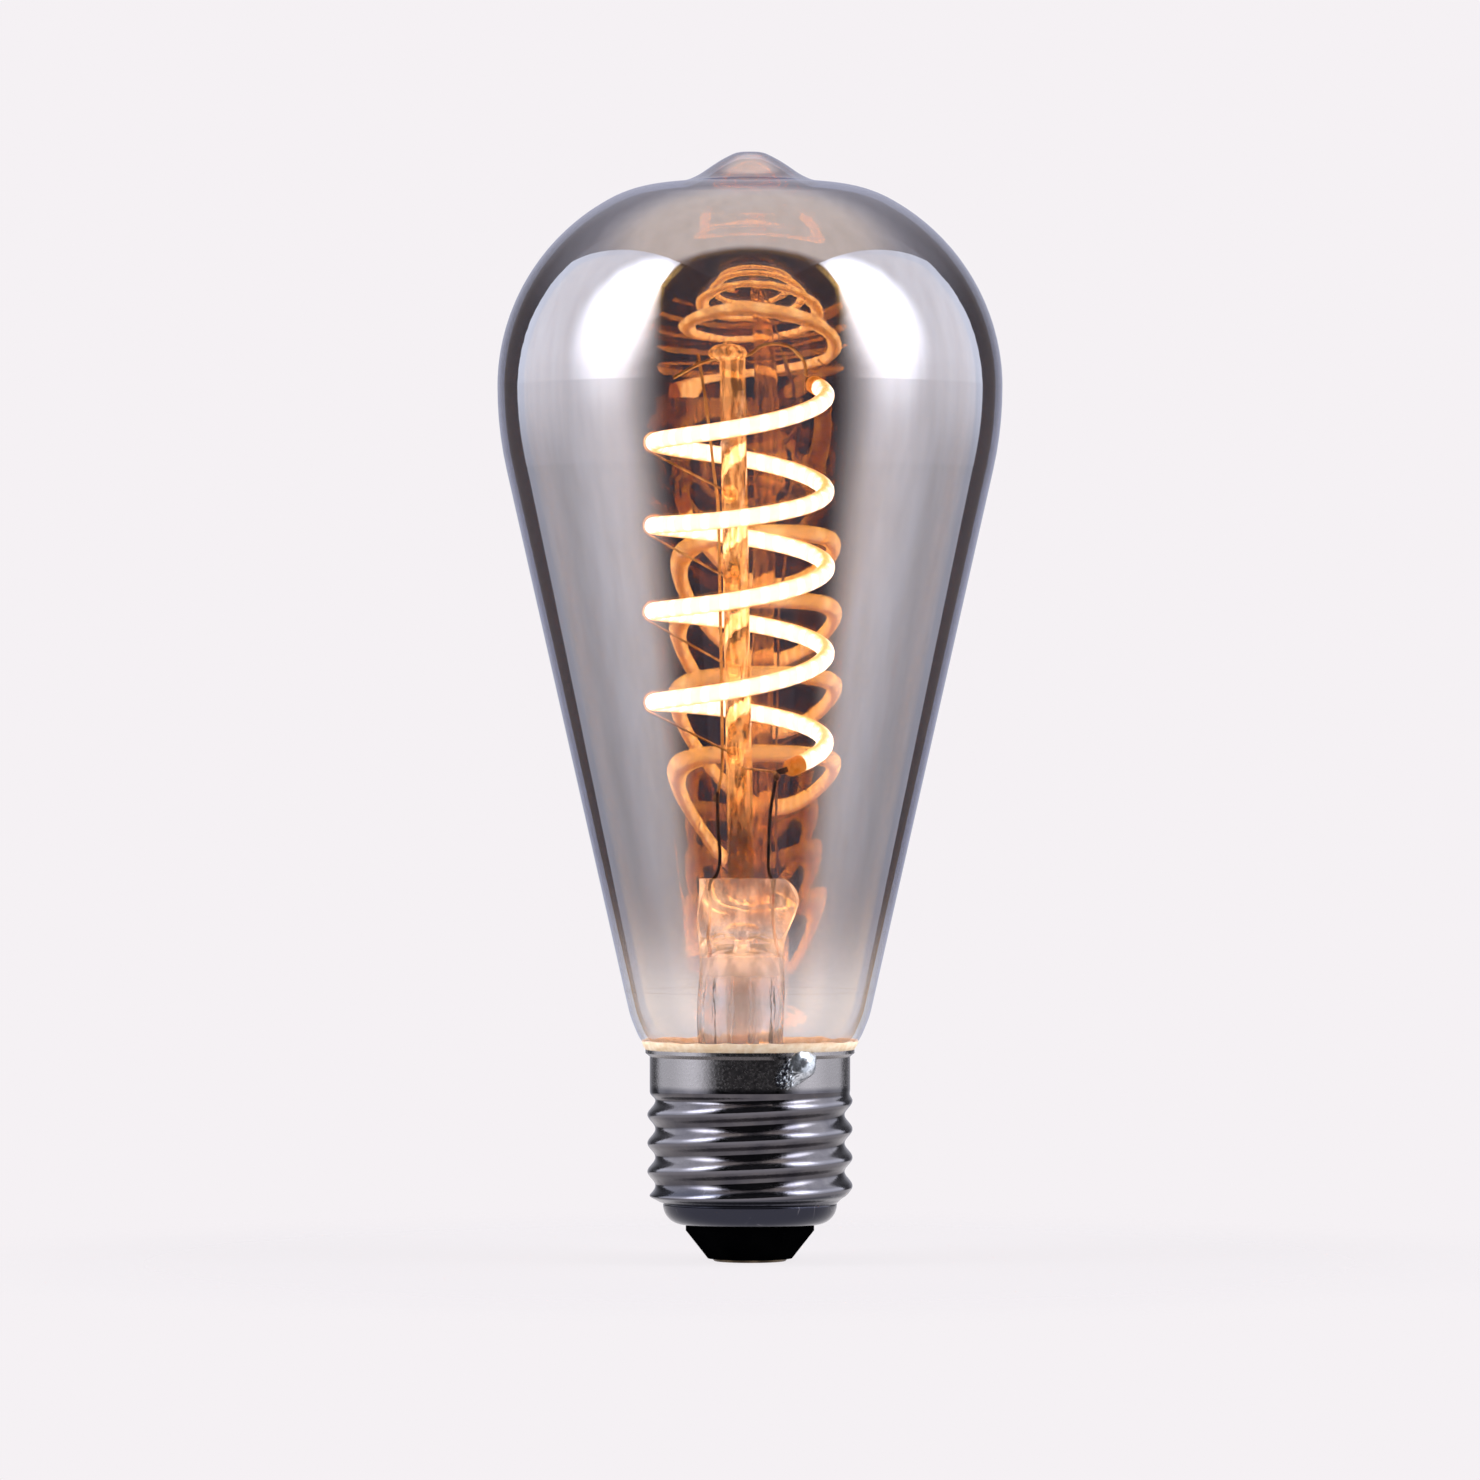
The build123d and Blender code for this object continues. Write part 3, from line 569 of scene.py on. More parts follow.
@dataclass(frozen=True)
class BlackNickel(Finish):
    """Black-nickel plate over rolled and drawn brass.

    Screwing in and out has polished the thread's crests and scratched the dome, and the collar keeps
    the frosty skin that the plating left. The dome is darker with painted shade.

    Args:
        colour: Colour of the plate.
        deep: Colour in the duller patches.
        patch_mm: Size of those patches.
        polished: Colour where the crests are rubbed and the dome is scratched.
        dome_painted_shade: Painted shade: a darker colour on the dome.
        frosted: Colour of the collar.
        roughness: Roughness of the plate.
        spread: How much the roughness varies, as a share.
        collar_dulling: How many times rougher the collar is.
        crest_mm: Radii where the thread starts to be rubbed and where it is bare.
        collar_mm: Heights where the frosty collar starts and where it is full.
        dome_mm: Heights under which and over which the dome's painted shade is full and gone; the scratches
            keep to the same span.
        grain_mm: Size of the grain, drawn coarser than the real plate's so that it shows.
        line_mm: Spacing of the drawing lines, drawn coarser too.
        line_squeeze: Squeeze of their noise sideways, which draws them out round the cap.
        line_share: Their height beside the grain's.
        relief_mm: Height of the grain on the collar.
        thread_relief: Share of it on the thread and dome.
        scratch_mm: Spacing of the scratches.
        scratch_width: Their width, as a share of the spacing.
        bend_mm: Size of their bends.
        bend_reach_mm: How far a bend carries a scratch.
        scratched: Values of the bends' noise between which scratches appear.
    """

    colour: str = "#656265"
    deep: str = "#4f4d53"
    patch_mm: float = 4.0
    polished: str = "#737177"
    dome_painted_shade: str = "#3a3b45"
    frosted: str = "#8f8b8b"
    roughness: float = 0.16
    spread: float = 0.3
    collar_dulling: float = 1.5
    crest_mm: Pair = (12.85, 13.1)
    collar_mm: Pair = (22.0, 22.6)
    dome_mm: Pair = (9.0, 10.0)
    grain_mm: float = 0.3
    line_mm: float = 0.35
    line_squeeze: float = 0.04
    line_share: float = 0.35
    relief_mm: float = 0.016
    thread_relief: float = 0.4
    scratch_mm: float = 4.0
    scratch_width: float = 0.02
    bend_mm: float = 3.0
    bend_reach_mm: float = 4.0
    scratched: Pair = (0.55, 0.62)

    def scratches(self, tree: NodeTree, place: NodeSocket, dome: Node) -> Node:
        """Thin crooked lines on the dome.

        Args:
            tree: The material's node tree.
            place: Object coordinates.
            dome: One on the dome and zero above it.

        Returns:
            One on a scratch and zero elsewhere.
        """
        bend = add(tree, "TexNoise", {"Vector": place, "Scale": per_metre(self.bend_mm)})
        bent = add(tree, "VectorMath", {0: bend.outputs[1], 1: (self.bend_reach_mm * MM,) * 3, 2: place},
                   operation="MULTIPLY_ADD")
        cells = add(tree, "TexVoronoi", {"Vector": bent, "Scale": per_metre(self.scratch_mm)},
                    feature="DISTANCE_TO_EDGE")
        line = add(tree, "MapRange", {0: cells, 2: self.scratch_width, 3: 1.0, 4: 0.0})
        patch = add(tree, "MapRange", {0: bend, 1: self.scratched[0], 2: self.scratched[1]})
        masked = add(tree, "Math", {0: line, 1: patch}, operation="MULTIPLY")
        return add(tree, "Math", {0: masked, 1: dome}, operation="MULTIPLY")

    def surface(self, tree: NodeTree, place: NodeSocket) -> Node:
        """Patches, rubbed crests, scratches, painted shade on the dome, grain and drawing lines, all on one
        metal.

        Args:
            tree: The material's node tree.
            place: Object coordinates.

        Returns:
            The shader.
        """
        flat = add(tree, "VectorMath", {0: place, 1: LEVEL}, operation="MULTIPLY")
        radius = add(tree, "VectorMath", {0: flat}, operation="LENGTH")
        height = add(tree, "SeparateXYZ", {0: place}).outputs[2]
        start, stop = (size * MM for size in self.crest_mm)
        rubbed = add(tree, "MapRange", {0: radius, 1: start, 2: stop}, **SMOOTH)
        start, stop = (size * MM for size in self.collar_mm)
        collar = add(tree, "MapRange", {0: height, 1: start, 2: stop})
        start, stop = (size * MM for size in self.dome_mm)
        dome = add(tree, "MapRange", {0: height, 1: start, 2: stop, 3: 1.0, 4: 0.0})
        worn = add(tree, "MapRange", {0: collar, 3: rubbed, 4: 0.0})
        bare = add(tree, "Math", {0: worn, 1: self.scratches(tree, place, dome)}, operation="MAXIMUM")
        patches = add(tree, "TexNoise", {"Vector": place, "Scale": per_metre(self.patch_mm), "Detail": 4.0})
        colour = add(tree, "ValToRGB", {0: patches}, stops=((0.35, self.deep), (0.6, self.colour)))
        # The dome's colour is painted shade; the frosted collar and the polished crests and scratches are
        # the plate's own.
        for share, over in ((dome, self.dome_painted_shade), (collar, self.frosted), (bare, self.polished)):
            colour = add(tree, "Mix", {0: share, 6: colour, 7: linear(over)}, **COLOURS)
        grain = add(tree, "TexNoise", {"Vector": place, "Scale": per_metre(self.grain_mm), "Detail": 3.0})
        squeezed = add(tree, "Mapping", {0: place, 3: (self.line_squeeze, self.line_squeeze, 1.0)})
        lines = add(tree, "TexNoise", {"Vector": squeezed, "Scale": per_metre(self.line_mm)})
        relief = add(tree, "Math", {0: lines, 1: self.line_share, 2: grain}, operation="MULTIPLY_ADD")
        frosty = add(tree, "MapRange", {0: collar, 3: self.thread_relief, 4: 1.0})
        bump = add(tree, "Bump", {"Height": relief, "Distance": self.relief_mm * MM, "Strength": frosty})
        rough = add(tree, "MapRange", {0: grain, 1: NOISE_LOW, 2: NOISE_HIGH,
                                       3: self.roughness * (1.0 - self.spread),
                                       4: self.roughness * (1.0 + self.spread)})
        duller = add(tree, "MapRange", {0: collar, 3: 1.0, 4: self.collar_dulling})
        gloss = add(tree, "Math", {0: rough, 1: duller}, operation="MULTIPLY")
        return add(tree, "BsdfPrincipled", {"Base Color": colour, "Metallic": 1.0, "Roughness": gloss,
                                            "Normal": bump})


@dataclass(frozen=True)
class SideSolder(Finish):
    """Tin solder wiped over a wire: bright and smooth on one side, burnt and crusty with flux on the other.

    Args:
        bright: Colour of the clean solder.
        dull: Colour of its grey skin.
        burnt: Colour of the flux crust.
        edge_mm: Where the crust ends and where the clean solder starts, along X and with the shift added.
        ragged_mm: Largest shift of that edge, which makes it ragged.
        grain_mm: Size of the crust's grains.
        relief_mm: Height of the crust's grains.
        smoothness: Share of that height on the clean solder.
        roughness: Roughness of the crust and of the clean solder.
    """

    bright: str = "#dfe3e8"
    dull: str = "#a8adb2"
    burnt: str = "#2a2a30"
    edge_mm: Pair = (5.7, 6.5)
    ragged_mm: float = 2.4
    grain_mm: float = 0.45
    relief_mm: float = 0.12
    smoothness: float = 0.15
    roughness: Pair = (0.5, 0.3)

    def surface(self, tree: NodeTree, place: NodeSocket) -> Node:
        """The crust is dark, rough and grainy, and the rest is a soft mirror.

        Args:
            tree: The material's node tree.
            place: Object coordinates.

        Returns:
            The shader.
        """
        across = add(tree, "SeparateXYZ", {0: place}).outputs[0]
        grain = add(tree, "TexNoise", {"Vector": place, "Scale": per_metre(self.grain_mm), "Detail": 3.0})
        ragged = add(tree, "Math", {0: grain, 1: self.ragged_mm * MM, 2: across}, operation="MULTIPLY_ADD")
        start, stop = (size * MM for size in self.edge_mm)
        clean = add(tree, "MapRange", {0: ragged, 1: start, 2: stop}, **SMOOTH)
        skin = add(tree, "ValToRGB", {0: grain}, stops=((0.4, self.dull), (0.6, self.bright)))
        crust = add(tree, "ValToRGB", {0: grain}, stops=((0.5, self.burnt), (0.62, self.dull)))
        colour = add(tree, "Mix", {0: clean, 6: crust, 7: skin}, **COLOURS)
        rough = add(tree, "MapRange", {0: clean, 3: self.roughness[0], 4: self.roughness[1]})
        bumpy = add(tree, "MapRange", {0: clean, 3: 1.0, 4: self.smoothness})
        bump = add(tree, "Bump", {"Height": grain, "Distance": self.relief_mm * MM, "Strength": bumpy})
        return add(tree, "BsdfPrincipled", {"Base Color": colour, "Metallic": 1.0, "Roughness": rough,
                                            "Normal": bump})


# ---------------------------------------------------------------- the bulb


def new_object(name: str, shape: BMesh, finish: Finish) -> Object:
    """Turns a mesh into an object in the scene.

    Args:
        name: The object's name.
        shape: Its shape, which is freed.
        finish: Its finish.

    Returns:
        The object, which stands at the origin.
    """
    mesh = bpy.data.meshes.new(name)
    shape.to_mesh(mesh)
    shape.free()
    made = bpy.data.objects.new(name, mesh)
    bpy.context.scene.collection.objects.link(made)
    finish.lay_on(made)
    return made


def finished_piece(name: str, shape: BMesh, finish: Finish) -> Object:
    """Turns a mesh into a smooth piece that rides on the bulb.

    Args:
        name: The piece's name.
        shape: Its shape, which is freed.
        finish: Its finish.

    Returns:
        The piece.
    """
    bmesh.ops.remove_doubles(shape, verts=shape.verts, dist=0.001 * MM)
    bmesh.ops.recalc_face_normals(shape, faces=shape.faces)
    for face in shape.faces:
        face.smooth = True
    piece = new_object(name, shape, finish)
    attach(piece, "root")
    return piece


def lump(name: str, finish: Finish, place: Matrix, shape: Callable[[Vector], Vector],
         detail: int) -> Object:
    """Makes a rounded lump that rides on the bulb.

    Args:
        name: The piece's name.
        finish: Its finish.
        place: Where a point of the lump goes, from its own axes to the bulb's.
        shape: Moves a point of the unit ball to the lump's surface, in its own axes.
        detail: How finely the ball is divided.

    Returns:
        The lump.
    """
    ball = bmesh.new()
    bmesh.ops.create_icosphere(ball, subdivisions=detail, radius=1.0)
    for vert in ball.verts:
        vert.co = shape(vert.co.normalized())
    bmesh.ops.smooth_vert(ball, verts=ball.verts, factor=0.3, use_axis_x=True, use_axis_y=True,
                          use_axis_z=True)
    bmesh.ops.transform(ball, matrix=place, verts=ball.verts)
    return finished_piece(name, ball, finish)


def axes_at(point: Vector, along: Vector, outwards: Vector) -> Matrix:
    """A frame at a point, with X along one direction and Z outwards.

    Args:
        point: The frame's origin.
        along: The direction of X.
        outwards: The direction of Z, square to X.

    Returns:
        The frame's matrix.
    """
    turned = Matrix((along, outwards.cross(along), outwards)).transposed().to_4x4()
    return Matrix.Translation(point) @ turned


class Assembly:
    """A sub-assembly of the bulb: it builds its new meshes and dresses all its pieces."""

    title: ClassVar[str] = ""

    def build(self) -> list[Object]:
        """Makes the meshes that this sub-assembly adds, none unless it says so."""
        return []

    def dress(self) -> None:
        """Lays a finish on each of the sub-assembly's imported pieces."""
        raise NotImplementedError


@dataclass
class Envelope(Assembly):
    """The blown glass bulb."""

    title: ClassVar[str] = "envelope"
    # Soda-lime glass blown in a mould and smoked by metal vapour: a grey mirror with a warm inside.
    glass: Finish = SmokedGlass("vapour_coated_smoky_glass")

    def dress(self) -> None:
        """Lays the smoky glass on the wall."""
        self.glass.lay_on("glass_envelope")


@dataclass
class Filament(Assembly):
    """The flexible filament: coat, strip, end caps and terminals."""

    title: ClassVar[str] = "filament"
    # Silicone with yellow phosphor, moulded over lit chips: a white-hot line with amber edges.
    coat: Finish = PhosphorCoat("phosphor_silicone_lit")
    # Orange silicone, moulded over the ends: soft and cloudy, with a painted glow in place of light from
    # the last chips.
    ends: Finish = EndSilicone("orange_end_silicone_painted_glow")
    # Copper strip, rolled and silvered: it hides in the coat and shows at the cut ends only.
    strip: Finish = MetalFinish("silvered_copper_strip", "#d8d0c4", "#a89c8c", 0.2)
    # Nickel-iron, stamped: small dark tongues with a dull gleam.
    terminals: Finish = MetalFinish("nickel_iron_terminal", "#7d766c", "#4b453e", 0.32)

    def dress(self) -> None:
        """Lays the glow on the coat and plain finishes on what it hides."""
        self.coat.lay_on("filament_coat")
        self.ends.lay_on("filament_cap_top", "filament_cap_bottom")
        self.strip.lay_on("filament_strip")
        self.terminals.lay_on("filament_terminal_top", "filament_terminal_bottom")


@dataclass(frozen=True)
class Drop:
    """The form of a round drop of what was molten.

    Args:
        half_width_mm: Half of its width.
        half_height_mm: Half of its height.
        dent: Depth of its dents, as a share of its size.
        fineness: How close its dents are to each other.
        pinch: How far the electrodes pinched it along Y, as a share of its size.
    """

    half_width_mm: float
    half_height_mm: float
    dent: float
    fineness: float
    pinch: float = 0.0

    def make(self, name: str, slot: str, finish: Finish, middle: Vector, start: Vector) -> Object:
        """Makes a drop that rides on the bulb.

        Args:
            name: The drop's name.
            slot: Name of a material slot for the drop; not used.
            finish: Its finish.
            middle: Its middle.
            start: Where in the noise its dents start, so that no two drops are alike.

        Returns:
            The drop.
        """
        size = Vector((self.half_width_mm, self.half_width_mm, self.half_height_mm)) * MM

        def shape(way: Vector) -> Vector:
            """Dents and pinches the unit ball at one of its points."""
            swell = self.dent * noise.noise(way * self.fineness + start) - self.pinch * abs(way.y) ** 3
            return Vector(share * reach for share, reach in zip(way, size)) * (1.0 + swell)

        return lump(name, finish, Matrix.Translation(middle), shape, 4)


@dataclass
class Stem(Assembly):
    """The glass stem with its press, tube and rod, and the wires it holds.

    Args:
        hook_count: Number of hooks that carry the coil's turns.
        fused: The lump of glass where a hook is fused in.
        weld: A spot weld.
        weld_shifts: Where each weld sits, from a corner of its wire's box, in millimetres.
    """

    title: ClassVar[str] = "stem"
    # Lead-free glass tube, flared and pinched in a flame: clear walls and a cloudy pinch, with a painted
    # peach glow near the coil.
    press: Finish = StemGlass("flame_worked_press_glass_painted_glow", "#f6f8fc", "#ece6e4", clarity=0.95, streak_mm=2.2,
                              stretch=3.0, depth_mm=0.2, roughness=0.02, cloudy=0.62, frost=0.25,
                              frost_mm=(37.6, 3.0), painted_glow="#ffc08a", painted_glow_level=1.5, painted_glow_between=0.3,
                              painted_glow_mm=(35.0, 47.0))
    # Drawn glass rod with long streaks: their golden colour and glow are painted light from the coil.
    rod: Finish = StemGlass("drawn_glass_rod_painted_glow", "#fff2d6", "#e9bd78", clarity=0.9, streak_mm=0.8,
                            stretch=4.0, depth_mm=0.16, roughness=0.03, cloudy=0.9, frost=0.03,
                            painted_glow="#ffae58", painted_glow_level=2.5, painted_glow_between=0.08,
                            painted_glow_mm=(54.0, 62.0))
    # Drawn glass tube, sealed off in a flame: clear with soft ripples.
    tube: Finish = StemGlass("exhaust_tube_glass", "#fff8f2", "#f4e2d4", clarity=0.92, streak_mm=0.8,
                             stretch=10.0, depth_mm=0.03, roughness=0.02, cloudy=0.92, frost=0.02)
    # Nickel-plated steel wire, drawn, with dull patches: its warm colour is painted light from the coil's
    # glow.
    leads: Finish = MetalFinish("nickel_wire_painted_glow", "#ffdc98", "#e0a860", 0.45, 1.5, 0.2)
    # The same wire, blued by the sealing flame: dark and dull.
    posts: Finish = MetalFinish("flame_blued_steel_wire", "#6e5a48", "#352a22", 0.36, 1.2, 0.2)
    # Molybdenum wire, drawn: its thin dull-gold colour is painted light from the coil's glow.
    hooks: Finish = MetalFinish("molybdenum_wire_painted_glow", "#f2c488", "#a87c4c", 0.38, 1.0, 0.15)
    # Copper-clad nickel-iron, borated: the red-brown of a wire sealed in glass.
    dumet: Finish = MetalFinish("borated_dumet_wire", "#b8512c", "#7c2f1c", 0.35, 1.2, 0.2)
    # Copper wire that the flame has oxidised: brown, nearly black.
    outer: Finish = MetalFinish("oxidised_copper_lead", "#6e5a4a", "#3c322b", 0.4, 1.2, 0.2)
    # Spot-welded nickel: a small bright lump with a burnt rim.
    welds: Finish = MetalFinish("spot_welded_nickel", "#d6b98a", "#6e5636", 0.3, 0.5, 0.15, 0.02)
    hook_count: int = 4
    fused: Drop = Drop(0.85, 1.15, 0.16, 1.7)
    weld: Drop = Drop(0.42, 0.55, 0.25, 2.3, 0.18)
    weld_shifts: ClassVar[dict[str, tuple[float, float, float]]] = {
        "post_weld": (0.1, 0.0, -0.9),
        "terminal_weld": (-0.2, 0.25, -0.1),
        "riser_weld": (0.25, -0.6, -1.3),
    }

    def fused_glass(self, index: int) -> Object:
        """Makes the lump of glass that holds a hook's root on the rod.

        Args:
            index: The hook's number.

        Returns:
            The lump.
        """
        low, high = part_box(f"support_hook_{index}")
        root = Vector((high.x, (low.y + high.y) / 2, low.z))
        return self.fused.make(f"fused_glass_{index}", "clear_glass", self.rod, root,
                               Vector((index, 0.0, 0.0)))

    def spot_weld(self, name: str, corner: tuple[float, float, float]) -> Object:
        """Makes a spot weld where two wires meet.

        Args:
            name: The weld's name.
            corner: The corner of its wire's box that it is near.

        Returns:
            The weld.
        """
        point = Vector([start + shift * MM for start, shift in zip(corner, self.weld_shifts[name])])
        return self.weld.make(name, "lead_wire", self.welds, point, point * per_metre(1.0))

    def build(self) -> list[Object]:
        """Makes the fused glass at each hook and the welds between the wires.

        Returns:
            The new pieces.
        """
        riser, left, right = [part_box(name) for name in ("riser_wire", "left_post", "right_post")]
        corners = {"post_weld": ((left[0].x + left[1].x) / 2, left[1].y, left[1].z),
                   "terminal_weld": (right[1].x, right[0].y, right[1].z),
                   "riser_weld": (riser[0].x, riser[1].y, riser[1].z)}
        return ([self.fused_glass(index) for index in range(1, self.hook_count + 1)]
                + [self.spot_weld(name, corner) for name, corner in corners.items()])

    def dress(self) -> None:
        """Lays glass on the stem and metals on its wires."""
        self.press.lay_on("stem_flare")
        self.rod.lay_on("arbor_rod")
        self.tube.lay_on("exhaust_tube")
        self.leads.lay_on("bridge_wire", "riser_wire")
        self.posts.lay_on("left_post", "right_post")
        self.hooks.lay_on("bottom_hook", *[f"support_hook_{i}" for i in range(1, self.hook_count + 1)])
        self.dumet.lay_on("left_dumet", "right_dumet")
        self.outer.lay_on("left_outer_lead", "right_outer_lead")


@dataclass
class ScrewCap(Assembly):
    """The screw cap: shell, insulator, contact, solder and the cement that holds the glass.

    Args:
        blob_mm: Half length, half width and depth of the solder on the collar.
        blob_rise_mm: How far it creeps up over the rim.
        lean: How steeply that solder rises along the collar, in degrees.
        lobe: How much it swells and narrows along its length.
        lobe_turn: How fast it does so, in radians over its half length.
        lobe_start: Where in that turn its middle is, in radians.
        dent: How deep it is dented.
        dent_fineness: How close its dents are to each other.
        crumb: Height of the crumbs in its flux crust, as a share of its size.
        crumb_fineness: How close those crumbs are to each other.
        bead_outline: Section of the cement bead, as radius and height over the rim in millimetres.
        bead_ragged_from_mm: Height over the rim from which the bead is ragged.
        bead_ragged_mm: How ragged it is there.
        bead_lump_mm: Size of its lumps.
    """

    title: ClassVar[str] = "screw cap"
    # Brass, deep-drawn, rolled and plated black nickel: a dark mirror that breaks into fine grain.
    plate: Finish = BlackNickel("black_nickel_plate")
    # Black lead glass, pressed hot into the shell: so black that it hardly shines.
    insulator: Finish = MouldedFinish("black_vitrite_glass", "#050506", "#020203", 0.5, 3.0, 1.2, 0.01,
                                      specular=0.0)
    # Brass, stamped: a dull, dark brown-grey disc.
    contact: Finish = MetalFinish("dark_stamped_brass", "#6a5d4c", "#40382e", 0.32)
    # Tin solder, set in the eyelet: a soft grey drop.
    drop: Finish = MetalFinish("tin_solder", "#d4d6d8", "#8d9094", 0.22, 0.9, 0.25, 0.03)
    # Tin solder, wiped by hand: bright where it flowed last, burnt and crusty where the flux boiled.
    wiped: Finish = SideSolder("hand_wiped_solder")
    # Phenolic resin and marble flour, baked: a matt cream band.
    cement: Finish = MouldedFinish("basing_cement", "#f7e2c4", "#e6c79e", 0.8, 1.0, 0.3, 0.05)
    blob_mm: tuple[float, float, float] = (3.1, 1.7, 1.25)
    blob_rise_mm: float = 0.4
    lean: float = 36.0
    lobe: float = 0.2
    lobe_turn: float = 2.6
    lobe_start: float = 0.5
    dent: float = 0.22
    dent_fineness: float = 1.5
    crumb: float = 0.3
    crumb_fineness: float = 5.0
    bead_outline: tuple[Pair, ...] = ((12.7, -0.35), (13.3, -0.05), (13.62, 0.45), (13.84, 1.0),
                                      (13.8, 1.16), (13.4, 1.1))
    bead_ragged_from_mm: float = 0.8
    bead_ragged_mm: float = 0.25
    bead_lump_mm: float = 2.0

    def blob_shape(self, way: Vector) -> Vector:
        """Turns a point of the unit ball into one on the wiped solder, in the solder's own axes.

        Args:
            way: The point on the ball. X runs from the crusty end to the bright end.

        Returns:
            The point on the solder.
        """
        length, width, depth = (size * MM for size in self.blob_mm)
        swell = (1.0 + self.lobe * math.sin(self.lobe_turn * way.x + self.lobe_start)
                 + self.dent * noise.noise(way * self.dent_fineness))
        # The crust starts just past the middle and is full near the end.
        crusty = max(0.0, min(1.0, -0.2 - 1.5 * way.x))
        crumbs = 1.0 + crusty * self.crumb * noise.fractal(way * self.crumb_fineness, 0.8, 2.0, 3)
        return Vector((way.x * length, way.y * width * swell, way.z * depth * swell)) * crumbs

    def cement_bead(self) -> Object:
        """Makes the bead of cement that squeezed out between the rim and the glass.

        Returns:
            The bead.
        """
        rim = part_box("cap_shell")[1].z
        ring = bmesh.new()
        outline = [ring.verts.new((radius * MM, 0.0, rim + rise * MM))
                   for radius, rise in self.bead_outline]
        sides = [ring.edges.new((start, end)) for start, end in zip(outline, outline[1:] + outline[:1])]
        bmesh.ops.spin(ring, geom=outline + sides, axis=(0.0, 0.0, 1.0), cent=(0.0, 0.0, 0.0), steps=180,
                       angle=math.tau, use_merge=True)
        for vert in ring.verts:
            if vert.co.z > rim + self.bead_ragged_from_mm * MM:
                vert.co.z += self.bead_ragged_mm * MM * noise.noise(vert.co / (self.bead_lump_mm * MM))
        return finished_piece("squeezed_cement_bead", ring, self.cement)

    def build(self) -> list[Object]:
        """Makes the solder that holds the return wire on the collar, and the bead of cement.

        Returns:
            The new pieces.
        """
        low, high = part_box("side_solder")
        middle = (low + high) / 2 + Vector((0.0, 0.0, self.blob_rise_mm * MM))
        outwards = Vector((middle.x, middle.y, 0.0)).normalized()
        up = Vector((0.0, 0.0, 1.0))
        rise = math.radians(self.lean)
        along = up.cross(outwards) * math.cos(rise) + up * math.sin(rise)
        bead = self.cement_bead()
        blob = lump("wiped_side_solder", self.wiped, axes_at(middle, along, outwards),
                    self.blob_shape, 6)
        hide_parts("side_solder")
        return [blob, bead]

    def dress(self) -> None:
        """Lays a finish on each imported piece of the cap."""
        self.plate.lay_on("cap_shell")
        self.insulator.lay_on("cap_insulator")
        self.contact.lay_on("centre_contact")
        self.drop.lay_on("contact_solder")
        self.cement.lay_on("basing_cement")


@dataclass
class Driver(Assembly):
    """The driver and radio boards in the cap, with what they carry.

    Args:
        finishes: Finish of each of its pieces.
    """

    title: ClassVar[str] = "driver"
    finishes: ClassVar[dict[str, Finish]] = {
        # Insulating plastic, moulded: a matt off-white sleeve.
        "insulating_sleeve": MouldedFinish("moulded_insulating_liner", "#cfd0c6", "#b4b5a8", 0.7, 2.0, 0.4,
                                           0.02),
        # Glass-epoxy laminate, masked green: copper runs show as lighter lines.
        "driver_board": LaminateFinish("green_glass_epoxy"),
        # The same laminate, masked black: nearly black with a faint grid.
        "radio_board": LaminateFinish("black_glass_epoxy", "#101418", "#1d242c", 1.1),
        # Shrink-sleeved aluminium can: navy film with a soft shine.
        "bulk_capacitor": MouldedFinish("shrunk_capacitor_sleeve", "#1b2640", "#141c30", 0.3, 2.0, 0.3,
                                        0.004, 0.4),
        # Sintered manganese-zinc ferrite: charcoal, dry and slightly grainy.
        "inductor_core": MouldedFinish("sintered_ferrite", "#33302e", "#22201f", 0.6, 0.6, 0.15, 0.01),
        # Enamelled copper, wound: orange metal under clear enamel.
        "inductor_winding": MetalFinish("enamelled_copper_winding", "#c46a34", "#8a3f1c", 0.28, 1.0, 0.2),
        # Epoxy, transfer-moulded: matt black with a fine tooth.
        "led_driver_chip": MouldedFinish("moulded_epoxy_chip", "#232326", "#18181a"),
        # Epoxy, transfer-moulded: a shade lighter.
        "bridge_rectifier": MouldedFinish("moulded_epoxy_rectifier", "#2a2a2e", "#1c1c1f"),
        # Flameproof lacquer, dipped: grey-green with a skin gloss.
        "fusible_resistor": MouldedFinish("dipped_resistor_lacquer", "#5c7f6e", "#486757", 0.4, 1.0, 0.3,
                                          0.01, 0.3),
        # Tinned copper wire, drawn: bright grey.
        "live_lead": MetalFinish("tinned_copper_live", "#c8c4bc", "#8e8a82", 0.3),
        "neutral_lead": MetalFinish("tinned_copper_neutral", "#c4c1ba", "#8a877f", 0.3),
        # Tinned steel, pressed: a pale grey can with broad dull patches.
        "radio_shield": MetalFinish("pressed_tinned_steel", "#c2c4c6", "#94979a", 0.3, 3.0),
        # Epoxy, transfer-moulded: black and matt under the can.
        "radio_chip": MouldedFinish("radio_chip_epoxy", "#1c1c20", "#131316"),
        # Ceramic, fired: off-white and faintly mottled.
        "radio_antenna": MouldedFinish("fired_antenna_ceramic", "#e9e6df", "#d2cec4", 0.4, 1.0),
        # Barium titanate, fired: biscuit brown.
        "chip_capacitors": MouldedFinish("fired_capacitor_ceramic", "#b08a62", "#8f6c49", 0.4, 0.5),
        # Alumina with a black glaze, fired: dark with a soft shine.
        "chip_resistors": MouldedFinish("glazed_resistor_ceramic", "#26262a", "#17171a", 0.4, 0.5),
    }

    def dress(self) -> None:
        """Lays a finish on the sleeve, the boards and each component."""
        for name, finish in self.finishes.items():
            finish.lay_on(name)


# ---------------------------------------------------------------- the stage


class Side(Enum):
    """Side of the bulb that a light panel stands on."""

    LEFT = -1
    RIGHT = 1


